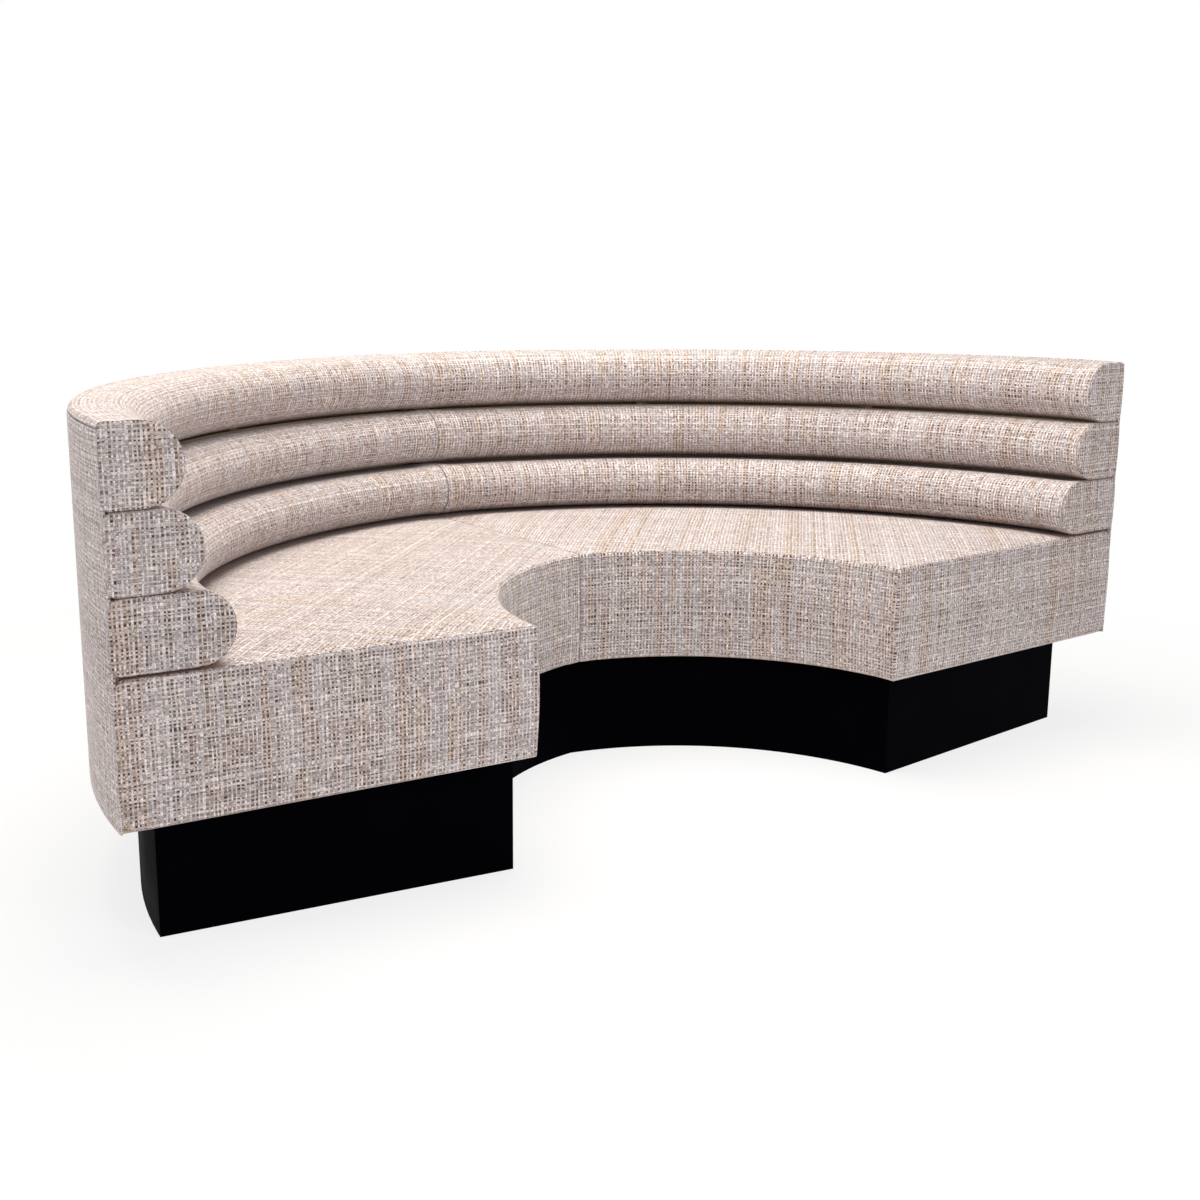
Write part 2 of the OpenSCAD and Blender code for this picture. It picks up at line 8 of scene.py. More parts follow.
import bmesh
import bpy
import numpy as np
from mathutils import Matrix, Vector

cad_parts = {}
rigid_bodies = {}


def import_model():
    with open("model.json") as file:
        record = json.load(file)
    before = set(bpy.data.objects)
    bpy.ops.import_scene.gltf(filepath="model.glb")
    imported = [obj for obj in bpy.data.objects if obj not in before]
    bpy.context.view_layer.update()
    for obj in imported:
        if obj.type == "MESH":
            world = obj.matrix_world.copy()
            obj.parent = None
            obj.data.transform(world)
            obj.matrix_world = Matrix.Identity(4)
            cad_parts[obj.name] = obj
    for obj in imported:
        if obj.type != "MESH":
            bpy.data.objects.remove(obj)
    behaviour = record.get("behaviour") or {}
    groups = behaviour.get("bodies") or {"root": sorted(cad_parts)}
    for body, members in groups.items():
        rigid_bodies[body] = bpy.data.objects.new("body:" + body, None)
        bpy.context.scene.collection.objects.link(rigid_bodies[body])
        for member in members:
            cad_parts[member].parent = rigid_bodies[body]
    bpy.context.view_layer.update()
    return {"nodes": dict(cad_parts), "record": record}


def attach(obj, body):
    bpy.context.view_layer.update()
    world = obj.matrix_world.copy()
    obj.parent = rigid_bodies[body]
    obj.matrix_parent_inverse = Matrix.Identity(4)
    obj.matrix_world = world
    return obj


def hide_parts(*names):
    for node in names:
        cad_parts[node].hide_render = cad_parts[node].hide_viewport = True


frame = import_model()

log = logging.getLogger("banquette")
BODY = "bench"
WEAVE = "weave"
# The last mark is painted shade, where the cloth goes into a crease.
POINT_MARKS = ("sewn", "held", "swell", "tucked")
DIAGONAL = 0.707
TINY = 1e-9


class Side(Enum):
    """One of the two mirrored modules, seen from the front."""

    LEFT = -1
    RIGHT = 1

    @property
    def word(self) -> str:
        """The side's name as the node names have it."""
        return self.name.lower()


class Panel(Enum):
    """The cloth panel that a face belongs to, which settles how its weave runs."""

    BOXING = 1
    TOP = 2
    ROUND = 3


class Origin(Enum):
    """What the reach of a ring is measured from."""

    SEAM = 1
    END = 2
    BETWEEN = 3


# Plan and sections


def share(value: float) -> float:
    """The value kept between 0 and 1."""
    return min(max(value, 0.0), 1.0)


def eased(t: float) -> float:
    """A share with a soft start and a soft stop."""
    return t * t * (3 - 2 * t)


def belly_inset(t: float, depth: float) -> float:
    """How far a face that bellies out by depth lies in at a share t of its height."""
    return depth * (1 - math.sin(math.pi * share(t)))


@dataclass(frozen=True)
class Plan:
    """Plan and heights of the bench in metres, for the right-hand module."""

    seat_radius: float = 0.522
    outer_radius: float = 1.250
    centre_offset: float = 0.090
    end_angle: float = math.radians(87)
    end_setback: float = 0.006
    seam: float = 0.0005
    plinth_height: float = 0.210
    seat_top: float = 0.450

    def end_angle_at(self, r: float) -> float:
        """Angle about the arc's centre at which an arc of radius r meets the free end."""
        off = self.end_setback - self.centre_offset * math.cos(self.end_angle)
        return self.end_angle - math.asin(off / r)

    def seam_angle_at(self, r: float) -> float:
        """Angle about the arc's centre at which an arc of radius r meets the seam."""
        return math.asin((self.seam + self.centre_offset) / r)

    @property
    def centre_y(self) -> float:
        """Place of the arcs' centre from front to back; the plan is centred on its own box."""
        cos_a, sin_a = math.cos(self.end_angle), math.sin(self.end_angle)
        off = self.centre_offset * cos_a - self.end_setback
        reach = math.sqrt(self.seat_radius**2 - off**2)
        front = (reach - self.centre_offset * sin_a) * cos_a + self.end_setback * sin_a
        back = math.sqrt(self.outer_radius**2 - (self.seam + self.centre_offset) ** 2)
        return -(front + back) / 2

    def point(self, r: float, angle: float, z: float) -> Vector:
        """A place given by its radius, its angle from the seam side and its height."""
        x, y = r * math.sin(angle) - self.centre_offset, r * math.cos(angle) + self.centre_y
        return Vector((x, y, z))

    def along_end(self, p: Vector) -> float:
        """Distance of a place along the free end, from the plan's own centre."""
        return p.x * math.sin(self.end_angle) + (p.y - self.centre_y) * math.cos(self.end_angle)


PLAN = Plan()


@dataclass(frozen=True)
class Spot:
    """A point of a section: radius and height, outward direction, and what it belongs to.

    sewn is its distance from a sewn seam of the section. loose is how far it lies from the
    cover's cut before the filling swells it, in radius and height. swell is how far the
    filling may then move it, and held keeps it where it is. The last field is painted shade:
    1 where the cloth goes into a crease, where its colour is darkened and browned.
    """

    r: float
    z: float
    out_r: float
    out_z: float
    panel: Panel
    sewn: float = 1.0
    held: bool = False
    loose: tuple[float, float] = (0.0, 0.0)
    swell: float = 0.0025
    tucked: float = 0.0


def arc_spots(r: float, z: float, radius: float, start: float, stop: float, count: int,
              panel: Callable[[float], Panel], sewn_at: Optional[float] = None) -> list[Spot]:
    """Spots of a rounded corner or nose.

    Args:
        r: Radius of its centre about the arc's axis.
        z: Height of its centre.
        radius: Its own radius.
        start: First direction in degrees, 0 outwards and 90 up.
        stop: Last direction in degrees.
        count: Number of steps.
        panel: Gives the panel from the direction.
        sewn_at: Direction of a sewn seam on it, or None.

    Returns:
        The spots in order.
    """
    spots = []
    for i in range(count + 1):
        a = start + (stop - start) * i / count
        dr, dz = math.cos(math.radians(a)), math.sin(math.radians(a))
        sewn = 1.0 if sewn_at is None else abs(math.radians(a - sewn_at)) * radius
        spots.append(Spot(r + radius * dr, z + radius * dz, dr, dz, panel(a), sewn))
    return spots


def line_spots(r0: float, z0: float, r1: float, z1: float, count: int, panel: Panel,
               held: bool = False) -> list[Spot]:
    """Spots strictly between two points of a section, on a straight line.

    Args:
        r0: Radius of the first point.
        z0: Height of the first point.
        r1: Radius of the second point.
        z1: Height of the second point.
        count: Number of steps between the two.
        panel: The panel that they belong to.
        held: Whether the filling leaves them where they are.

    Returns:
        The spots in order.
    """
    length = math.hypot(r1 - r0, z1 - z0)
    out_r, out_z = -(z1 - z0) / length, (r1 - r0) / length
    spots = []
    for i in range(1, count):
        t = i / count
        spots.append(Spot(r0 + t * (r1 - r0), z0 + t * (z1 - z0), out_r, out_z, panel, held=held))
    return spots


@dataclass(frozen=True)
class Section:
    """Closed outline of a pad across its arc, with the line that its ends shrink to.

    core is that line: its inner and outer radius and its height. back is the radius of the
    outline's flat back, where it has one.
    """

    spots: tuple[Spot, ...]
    core: tuple[float, float, float]
    mean_radius: float
    belly: Callable[[float], float] = lambda z: 0.0
    back: float = math.inf

    def girths(self) -> list[float]:
        """Measures the way round the outline.

        Returns:
            The distance of each spot from the first, with the whole way round last.
        """
        total, found = 0.0, [0.0]
        for a, b in zip(self.spots, self.spots[1:] + self.spots[:1]):
            total += math.hypot(b.r - a.r, b.z - a.z)
            found.append(total)
        return found


# Over END_ZONE an end's belly fades out. Beyond EASE_LENGTH a section is as loose as it gets,
# with MIDDLE_RUN metres taken for the whole way between the ends.
END_ZONE = 0.03
EASE_LENGTH = 0.06
MIDDLE_RUN = 1.5
CORNER_REACH = 0.0015


@dataclass(frozen=True)
class Station:
    """Where a ring of the loft lies between the seam and the free end.

    reach is a distance in metres from the seam or the free end, or a share of the way
    between them. shrink pulls the ring in from its outline, and draw pulls it towards
    the section's core. sewn is its distance from the seam round the pad's end, and face
    tells that it belongs to the end's own panel.
    """

    origin: Origin
    reach: float
    shrink: float = 0.0
    draw: float = 0.0
    sewn: float = 1.0
    face: bool = False

    @property
    def full(self) -> bool:
        """Whether the ring reaches behind the outer back's cloth, out to the end's corner."""
        return self.origin is Origin.END and self.reach < CORNER_REACH

    @property
    def ease(self) -> float:
        """How much of a section's looseness this ring has: none at an end."""
        if self.origin is Origin.BETWEEN:
            from_end = END_ZONE + MIDDLE_RUN * min(self.reach, 1 - self.reach)
        else:
            from_end = self.reach
        return eased(min(1.0, from_end / EASE_LENGTH))

    def angle(self, r: float, belly: float) -> float:
        """Angle of this station about the arc's centre.

        Args:
            r: Radius at which it is wanted.
            belly: How far the free end's face lies in there.

        Returns:
            The angle in radians.
        """
        first, last = PLAN.seam_angle_at(r), PLAN.end_angle_at(r)
        if self.origin is Origin.SEAM:
            return first + self.reach / r
        if self.origin is Origin.END:
            fade = max(0.0, 1 - self.reach / END_ZONE) ** 2
            return last - (self.reach + belly * fade) / r
        low, high = first + END_ZONE / r, last - END_ZONE / r
        return low + self.reach * (high - low)


FACE_DRAWS = (0.94, 0.8, 0.62, 0.44, 0.28, 0.14, 0.05)
ROUNDING_STEPS = 4
WALL_GAPS = (0.004, 0.012)


def end_stations(origin: Origin, edge: float, seam_depth: float, inset: float) -> list[Station]:
    """Rings of one end of a pad, from the middle of its end face out to its wall.

    Args:
        origin: Which end it is.
        edge: Rounding round the face.
        seam_depth: Depth of the sewn seam in the middle of that rounding.
        inset: How far the face lies in from the module's own end.

    Returns:
        The rings in order.
    """
    rings = [Station(origin, inset, edge, draw, face=True) for draw in FACE_DRAWS]
    seam_step = ROUNDING_STEPS // 2
    for step in range(ROUNDING_STEPS + 1):
        a = math.radians(90 * step / ROUNDING_STEPS)
        sink = seam_depth if step == seam_step else 0.0
        sewn = abs(step - seam_step) / ROUNDING_STEPS * math.pi / 2 * edge
        rings.append(Station(origin, inset + edge * (1 - math.cos(a)) + sink,
                             edge * (1 - math.sin(a)) + sink, 0.0, sewn, step <= seam_step))
    return rings + [Station(origin, inset + edge + gap, sewn=edge + gap) for gap in WALL_GAPS]


def all_stations(edge: float, seam_edge: float, seam_depth: float, steps: int,
                 end_inset: float = 0.0) -> list[Station]:
    """Rings of a whole pad, from its face on the modules' seam to its face at the free end.

    Args:
        edge: Rounding round the free end.
        seam_edge: Rounding round the face on the modules' seam.
        seam_depth: Depth of the sewn seam round the free end; the other has half of it.
        steps: Number of steps between the ends.
        end_inset: How far the free end's face lies in from the bench's own end.

    Returns:
        The rings in order.
    """
    middle = [Station(Origin.BETWEEN, i / steps) for i in range(steps + 1)]
    first = end_stations(Origin.SEAM, seam_edge, seam_depth / 2, 0.0)
    last = end_stations(Origin.END, edge, seam_depth, end_inset)
    return first + middle + last[::-1]


@dataclass
class Loft:
    """A closed pad lofted through rings of one section, with its weave laid on it.

    top_turn is the angle at which the top panel's cloth is cut. corner_gap is how far a full
    ring stays inside the outer back. The sewn ends hold the cloth over tied_length, and
    face_swell is how far the filling may move an end's own panel.
    """

    name: str
    section: Section
    stations: list[Station]
    side: Side
    weave_start: tuple[float, float] = (0.0, 0.0)
    filling: Optional["Filling"] = None
    top_turn: float = math.radians(43.5)
    corner_gap: float = 0.0005
    tied_length: float = 0.014
    face_swell: float = 0.0012

    def place(self, spot: Spot, station: Station) -> Vector:
        """The point of one spot on one ring of the right-hand module.

        Args:
            spot: The point of the section.
            station: The ring.

        Returns:
            Its place in metres.
        """
        r = spot.r - station.shrink * spot.out_r + station.ease * spot.loose[0]
        z = spot.z - station.shrink * spot.out_z + station.ease * spot.loose[1]
        if station.full and self.section.back - TINY < spot.r < PLAN.outer_radius - TINY:
            r = PLAN.outer_radius - self.corner_gap
        core_in, core_out, core_z = self.section.core
        r += station.draw * (min(max(r, core_in), core_out) - r)
        z += station.draw * (core_z - z)
        return PLAN.point(r, station.angle(r, self.section.belly(z)), z)

    def build(self) -> bpy.types.Object:
        """Makes the pad, swollen by its filling and mirrored for the left side.

        Returns:
            The pad's object.
        """
        bm = bmesh.new()
        bm.loops.layers.uv.new(WEAVE)
        for name in POINT_MARKS:
            bm.verts.layers.float.new(name)
        rings = self.tube(bm)
        for verts in (rings[0], rings[-1]):
            bmesh.ops.contextual_create(bm, geom=self.ring_edges(verts))
        bmesh.ops.recalc_face_normals(bm, faces=bm.faces)
        self.mark(bm, rings)
        mesh = bpy.data.meshes.new(self.name)
        bm.to_mesh(mesh)
        bm.free()
        pad = bpy.data.objects.new(self.name, mesh)
        bpy.context.scene.collection.objects.link(pad)
        if self.filling:
            self.filling.swell(pad, self.name.split("_", 1)[1])
        for used_up in ("held", "swell"):
            mesh.attributes.remove(mesh.attributes[used_up])
        if self.side is Side.LEFT:
            self.mirror(mesh)
        mesh.shade_smooth()
        return pad

    def tube(self, bm: bmesh.types.BMesh) -> list[list[bmesh.types.BMVert]]:
        """Extrudes a circle from ring to ring and puts each ring in its place.

        Args:
            bm: The mesh that it is made in.

        Returns:
            The vertices of each ring, in the section's order.
        """
        circle = bmesh.ops.create_circle(bm, cap_ends=False, segments=len(self.section.spots),
                                         radius=1.0)
        rings = [self.ring_order(circle["verts"])]
        for _ in self.stations[1:]:
            made = bmesh.ops.extrude_edge_only(bm, edges=self.ring_edges(rings[-1]))["geom"]
            fresh = {v for v in made if isinstance(v, bmesh.types.BMVert)}
            rings.append([next(e.other_vert(v) for e in v.link_edges if e.other_vert(v) in fresh)
                          for v in rings[-1]])
        for verts, station in zip(rings, self.stations):
            for vert, spot in zip(verts, self.section.spots):
                vert.co = self.place(spot, station)
        return rings

    @staticmethod
    def mirror(mesh: bpy.types.Mesh) -> None:
        """Turns a right-hand pad's mesh into the left-hand one, with its faces still outwards.

        Args:
            mesh: The mesh, which is changed.
        """
        bm = bmesh.new()
        bm.from_mesh(mesh)
        bmesh.ops.scale(bm, vec=(-1, 1, 1), verts=bm.verts)
        bmesh.ops.reverse_faces(bm, faces=bm.faces)
        bm.to_mesh(mesh)
        bm.free()

    @staticmethod
    def ring_order(verts: Sequence[bmesh.types.BMVert]) -> list[bmesh.types.BMVert]:
        """Sorts the vertices of a ring.

        Args:
            verts: The ring's vertices.

        Returns:
            The same vertices in order round it.
        """
        order = [verts[0]]
        seen = {verts[0]}
        while len(order) < len(verts):
            step = next(e.other_vert(order[-1]) for e in order[-1].link_edges
                        if e.other_vert(order[-1]) not in seen)
            order.append(step)
            seen.add(step)
        return order

    @staticmethod
    def ring_edges(order: Sequence[bmesh.types.BMVert]) -> list[bmesh.types.BMEdge]:
        """The edges round a ring."""
        pairs = zip(order, list(order[1:]) + [order[0]])
        return [next(e for e in a.link_edges if e.other_vert(a) is b) for a, b in pairs]

    def mark(self, bm: bmesh.types.BMesh, rings: list[list[bmesh.types.BMVert]]) -> None:
        """Lays the weave on the faces, and stores what seams and filling do at each point.

        Args:
            bm: The pad's mesh.
            rings: The vertices of each ring, in the section's order.
        """
        weave = bm.loops.layers.uv[WEAVE]
        sewn, held, swell, tucked = (bm.verts.layers.float[name] for name in POINT_MARKS)
        spots, girths = self.section.spots, self.section.girths()
        ring_of, spot_of = {}, {}
        for k, verts in enumerate(rings):
            for m, vert in enumerate(verts):
                ring_of[vert], spot_of[vert] = k, m
                station, spot = self.stations[k], spots[m]
                round_end = station.sewn if spot.panel in (Panel.TOP, Panel.ROUND) else 1.0
                vert[sewn] = min(spot.sewn + station.draw + station.shrink, round_end)
                tied = max(0.0, 1 - min(vert[sewn], station.sewn) / self.tied_length)
                vert[held] = 1.0 if spot.held or station.origin is Origin.SEAM else tied
                vert[swell] = self.face_swell if station.face else spot.swell
                # Painted crease shade, none on an end's own panel.
                vert[tucked] = 0.0 if station.face else spot.tucked
        for face in bm.faces:
            on_end = all(self.stations[ring_of[v]].face for v in face.verts)
            panels = [spots[spot_of[v]].panel for v in face.verts]
            wraps = {0, len(spots) - 1} <= {spot_of[v] for v in face.verts}
            for loop in face.loops:
                m = spot_of[loop.vert]
                girth = girths[-1] if wraps and m == 0 else girths[m]
                u, v = self.weave_at(loop.vert.co, panels, on_end, girth)
                loop[weave].uv = (u + self.weave_start[0], v + self.weave_start[1])

    def weave_at(self, p: Vector, panels: Sequence[Panel], on_end: bool,
                 girth: float) -> tuple[float, float]:
        """Finds the place on the cloth of a point of the pad.

        Args:
            p: The point.
            panels: Panels of the points of its face.
            on_end: Whether the face belongs to the pad's end.
            girth: Distance of the point round the section.

        Returns:
            Its place in metres, along and across the weave.
        """
        if on_end:
            return PLAN.along_end(p), p.z
        if Panel.TOP in panels and Panel.BOXING not in panels:
            cos_t, sin_t = math.cos(self.top_turn), math.sin(self.top_turn)
            return p.x * cos_t - p.y * sin_t, p.x * sin_t + p.y * cos_t
        mean = self.section.mean_radius
        end_angle = PLAN.end_angle_at(mean)
        angle = math.atan2(p.x + PLAN.centre_offset, p.y - PLAN.centre_y)
        run = (angle - end_angle) * mean
        if Panel.BOXING in panels:
            return run + PLAN.along_end(PLAN.point(mean, end_angle, 0)), p.z
        return run, girth


@dataclass(frozen=True)
class Filling:
    """Foam that swells a sewn cover: a cloth simulation under pressure, with the seams held."""

    pressure: float = 4.0
    frames: int = 20
    calming: int = 8
    moves: dict[str, np.ndarray] = field(default_factory=dict)

    def swell(self, pad: bpy.types.Object, form: str) -> None:
        """Moves a right-hand pad's points. Both modules share one simulation of each form.

        Args:
            pad: The pad, whose mesh is changed.
            form: The pad's name without its side.
        """
        if form not in self.moves:
            self.moves[form] = self.simulate(pad)
        flat = np.empty(3 * len(pad.data.vertices))
        pad.data.vertices.foreach_get("co", flat)
        pad.data.vertices.foreach_set("co", flat + self.moves[form].ravel())
        pad.data.update()

    def simulate(self, pad: bpy.types.Object) -> np.ndarray:
        """Runs the cloth and takes its result off the mesh again.

        Args:
            pad: The pad, which is left as it was.

        Returns:
            How far each point moves, capped and calmed.
        """
        scene, count = bpy.context.scene, len(pad.data.vertices)
        held, most = np.empty(count), np.empty(count)
        pad.data.attributes["held"].data.foreach_get("value", held)
        pad.data.attributes["swell"].data.foreach_get("value", most)
        pins = pad.vertex_groups.new(name="pins")
        for index in np.flatnonzero(held):
            pins.add([int(index)], float(held[index]), "REPLACE")
        cloth = pad.modifiers.new("filling", "CLOTH")
        cloth.settings.vertex_group_mass = pins.name
        cloth.settings.use_pressure = True
        cloth.settings.uniform_pressure_force = self.pressure
        cloth.settings.effector_weights.gravity = 0.0
        cloth.point_cache.frame_start, cloth.point_cache.frame_end = 1, self.frames
        for moment in range(1, self.frames + 1):
            scene.frame_set(moment)
        swollen = pad.evaluated_get(bpy.context.evaluated_depsgraph_get())
        before, after = np.empty(3 * count), np.empty(3 * count)
        pad.data.vertices.foreach_get("co", before)
        swollen.data.vertices.foreach_get("co", after)
        pad.modifiers.remove(cloth)
        pad.vertex_groups.remove(pins)
        scene.frame_set(1)
        moves = (after - before).reshape(-1, 3)
        far = np.linalg.norm(moves, axis=1)
        log.info("%s swelled by %.1f mm at most, %.1f mm at the middle point", pad.name,
                 1000 * far.max(), 1000 * np.median(far))
        moves *= (most * np.tanh(far / most) / np.maximum(far, TINY))[:, None]
        return self.calmed(pad.data, moves, 1 - held)

    def calmed(self, mesh: bpy.types.Mesh, moves: np.ndarray, free: np.ndarray) -> np.ndarray:
        """Evens the moves out between neighbours.

        Args:
            mesh: The pad's mesh.
            moves: How far each point would move.
            free: 0 for a point that is held, up to 1 for one that is free.

        Returns:
            The evened moves, with none where the cover is held.
        """
        ends = np.empty(2 * len(mesh.edges), dtype=int)
        mesh.edges.foreach_get("vertices", ends)
        a, b = ends[0::2], ends[1::2]
        count = np.bincount(ends, minlength=len(moves))[:, None]
        for _ in range(self.calming):
            total = np.zeros_like(moves)
            np.add.at(total, a, moves[b])
            np.add.at(total, b, moves[a])
            moves = total / count * free[:, None]
        return moves


# Pads


@dataclass(frozen=True)
class SeatShape:
    """The seat block's own sizes in metres, its seam's direction in degrees, and its steps."""

    crown: float = 0.003
    crown_apex: float = 1.055
    lid: float = 0.446
    lid_swell: float = 0.0065
    bulge: float = 0.004
    top_edge: float = 0.006
    bottom_edge: float = 0.003
    back: float = 1.2434
    base_gap: float = 0.0001
    seam_direction: float = 135.0
    seam_sink: float = 0.0008
    # Painted shade on the top's back part, where it goes under the lower roll: it starts at this
    # radius and is full after this length.
    tuck_start: float = 1.060
    tuck_length: float = 0.025
    held_from: float = 1.09
    core_inset: float = 0.11
    foot_steps: int = 3
    front_steps: int = 18
    edge_steps: int = 4
    top_steps: int = 46
    top_crowding: float = 1.15
    back_steps: int = 8
    base_steps: int = 20

    def belly(self, z: float) -> float:
        """How far a side face lies in from its furthest point at height z."""
        t = (z - PLAN.plinth_height) / (PLAN.seat_top - PLAN.plinth_height)
        return belly_inset(t, self.bulge)

    def rise(self, r: float) -> float:
        """Height of the crowned seat top at radius r."""
        t = (r - PLAN.seat_radius) / (self.crown_apex - PLAN.seat_radius)
        return self.lid - self.crown * (1 - share(t)) ** 2

    def front(self, bottom: float, lid: float) -> list[Spot]:
        """The front face with its rounded foot and its sewn top edge.

        Args:
            bottom: Height of the underside.
            lid: Height of the top at its front edge.

        Returns:
            The spots from the foot up to the top.
        """
        edge, foot = self.top_edge, self.bottom_edge
        low, high = bottom + foot, lid - edge
        spots = arc_spots(PLAN.seat_radius + self.belly(bottom) + foot, low, foot, 270, 180,
                          self.foot_steps, lambda a: Panel.BOXING)
        for i in range(1, self.front_steps):
            z = low + (lid - edge - bottom - foot) * i / self.front_steps
            spots.append(Spot(PLAN.seat_radius + self.belly(z), z, -1, 0, Panel.BOXING,
                              min(1.0, high - z)))
        spots += arc_spots(PLAN.seat_radius + self.belly(PLAN.seat_top) + edge, high, edge, 180, 90,
                           self.edge_steps, self.edge_panel, self.seam_direction)
        seam = -1 - self.edge_steps // 2
        spots[seam] = Spot(spots[seam].r + self.seam_sink, spots[seam].z - self.seam_sink,
                           -DIAGONAL, DIAGONAL, Panel.TOP, 0.0)
        return spots

    def edge_panel(self, direction: float) -> Panel:
        """The panel on each side of the seam that runs along the top edge."""
        return Panel.BOXING if direction > self.seam_direction + 1 else Panel.TOP

    def section(self) -> Section:
        """Draws the outline: up the front, back over the top, down the back and under the base.

        Returns:
            The section.
        """
        bottom = PLAN.plinth_height - self.base_gap
        front_top = PLAN.seat_radius + self.belly(PLAN.seat_top)
        front_low = PLAN.seat_radius + self.belly(bottom) + self.bottom_edge
        spots = self.front(bottom, self.rise(front_top))
        flat_start = front_top + self.top_edge
        for i in range(1, self.top_steps):
            r = flat_start + (self.back - flat_start) * (i / self.top_steps) ** self.top_crowding
            # Towards the back the top gets painted shade, where it goes under the lower roll.
            spots.append(Spot(r, self.rise(r), 0, 1, Panel.TOP,
                              min(1.0, r - flat_start + self.top_edge), r > self.held_from,
                              swell=self.lid_swell,
                              tucked=share((r - self.tuck_start) / self.tuck_length)))
        spots += [Spot(self.back, self.lid, DIAGONAL, DIAGONAL, Panel.TOP, held=True)]
        spots += line_spots(self.back, self.lid, self.back, bottom, self.back_steps,
                            Panel.BOXING, held=True)
        spots += [Spot(self.back, bottom, DIAGONAL, -DIAGONAL, Panel.BOXING, held=True)]
        spots += line_spots(self.back, bottom, front_low, bottom, self.base_steps,
                            Panel.BOXING, held=True)
        core = (PLAN.seat_radius + self.core_inset, self.back - self.core_inset,
                (self.lid + bottom) / 2)
        return Section(tuple(spots), core, PLAN.seat_radius, self.belly, self.back)


@dataclass(frozen=True)
class RollShape:
    """One roll of the back: its place, its sizes in metres, and its steps.

    slack is how much smaller the cover starts than its cut, and proud how far beyond it the
    nose may swell. Behind the nose the top sinks into the crease under the next roll. The
    nose's underside and the sinking top get painted shade, a darker brown colour.
    """

    name: str
    base: float
    height: float
    depth: float
    crease: float = 0.0006
    back: float = 1.2434
    back_edge: float = 0.0
    slack: float = 0.0024
    proud: float = 0.0012
    sink: float = 0.0035
    sink_length: float = 0.035
    # Painted shade on the nose's underside: it starts where the nose faces this far down and is
    # full after this much more.
    tuck_start: float = 0.80
    tuck_length: float = 0.20
    end_belly: float = 0.0015
    nose_steps: int = 30
    flat_steps: int = 8
    edge_steps: int = 5
    back_steps: int = 5

    def fall(self, behind: float) -> float:
        """How far the top sinks towards the next roll's crease, behind the nose's crest."""
        return 0.0 if self.back_edge else self.sink * eased(share(behind / self.sink_length))

    def belly(self, z: float) -> float:
        """How far the roll's end lies in from its furthest point at height z."""
        return belly_inset((z - self.base) / self.height, self.end_belly)

    def nose(self, centre: float, low: float, half: float) -> list[Spot]:
        """The half-round nose.

        Args:
            centre: Radius of its centre.
            low: Height of the underside.
            half: Half of the roll's height, which is the nose's own radius.

        Returns:
            The spots from the underside up to the crest.
        """
        spots = arc_spots(centre, low + half, half, 270, 90, self.nose_steps,
                          lambda a: Panel.ROUND)
        # The nose's underside gets painted shade.
        return [replace(spot, loose=(-self.slack * spot.out_r, -self.slack * spot.out_z),
                        swell=self.slack + self.proud * (1 - spot.out_z**2),
                        tucked=share((-spot.out_z - self.tuck_start) / self.tuck_length))
                for spot in spots]

    def section(self) -> Section:
        """Draws the outline: a half-round nose with a flat top, back and underside.

        Returns:
            The section.
        """
        low, high = self.base + self.crease, self.base + self.height
        half = (high - low) / 2
        nose = PLAN.outer_radius - self.depth + half
        spots = self.nose(nose, low, half)
        rim = PLAN.outer_radius - self.back_edge if self.back_edge else self.back
        lid = line_spots(nose, high, rim, high, self.flat_steps, Panel.ROUND,
                         held=not self.back_edge)
        # The top gets painted shade as it sinks towards the next roll's crease.
        spots += [replace(spot, loose=(0.0, -self.slack - self.fall(spot.r - nose)),
                          tucked=self.fall(spot.r - nose) / self.sink) for spot in lid]
        top = high
        if self.back_edge:
            spots += arc_spots(rim, high - self.back_edge, self.back_edge, 90, 0,
                               self.edge_steps, lambda a: Panel.ROUND)
            top = high - self.back_edge - self.crease
        spots += [Spot(self.back, top, DIAGONAL, math.copysign(DIAGONAL, top - high + TINY),
                       Panel.ROUND, held=True)]
        spots += line_spots(self.back, top, self.back, low, self.back_steps, Panel.ROUND,
                            held=True)
        spots += [Spot(self.back, low, DIAGONAL, -DIAGONAL, Panel.ROUND, held=True)]
        base = line_spots(self.back, low, nose, low, self.flat_steps, Panel.ROUND, held=True)
        spots += [replace(spot, loose=(0.0, self.slack)) for spot in base]
        spots = spots[:-1] if len(spots) % 2 else spots
        core = (nose, max(nose, self.back - half), low + half)
        return Section(tuple(spots), core, nose - half, self.belly, self.back)


ROLLS = (
    RollShape("lower_roll", 0.450, 0.118, 0.195),
    RollShape("middle_roll", 0.568, 0.126, 0.151),
    RollShape("top_roll", 0.694, 0.130, 0.127, back_edge=0.010),
)


@dataclass(frozen=True)
class BackShape:
    """The outer back's cloth over its wadding: sizes in metres, and its steps."""

    inner: float = 1.2438
    top: float = 0.8132
    edge: float = 0.002
    core_depth: float = 0.003
    inner_steps: int = 12
    outer_steps: int = 30
    edge_steps: int = 3

    def section(self) -> Section:
        """Draws a thin upright outline with softened outer edges.

        Returns:
            The section.
        """
        low, high, edge, outer = PLAN.plinth_height, self.top, self.edge, PLAN.outer_radius
        spots = [Spot(self.inner, low, -DIAGONAL, -DIAGONAL, Panel.BOXING, held=True)]
        spots += line_spots(self.inner, low, self.inner, high, self.inner_steps, Panel.BOXING,
                            held=True)
        spots += [Spot(self.inner, high, -DIAGONAL, DIAGONAL, Panel.BOXING, held=True)]
        spots += arc_spots(outer - edge, high - edge, edge, 90, 0, self.edge_steps,
                           lambda a: Panel.BOXING)
        spots += line_spots(outer, high - edge, outer, low + edge, self.outer_steps, Panel.BOXING)
        spots += arc_spots(outer - edge, low + edge, edge, 0, -90, self.edge_steps,
                           lambda a: Panel.BOXING)
        core = outer - self.core_depth
        return Section(tuple(spots), (core, core, (low + high) / 2), outer)


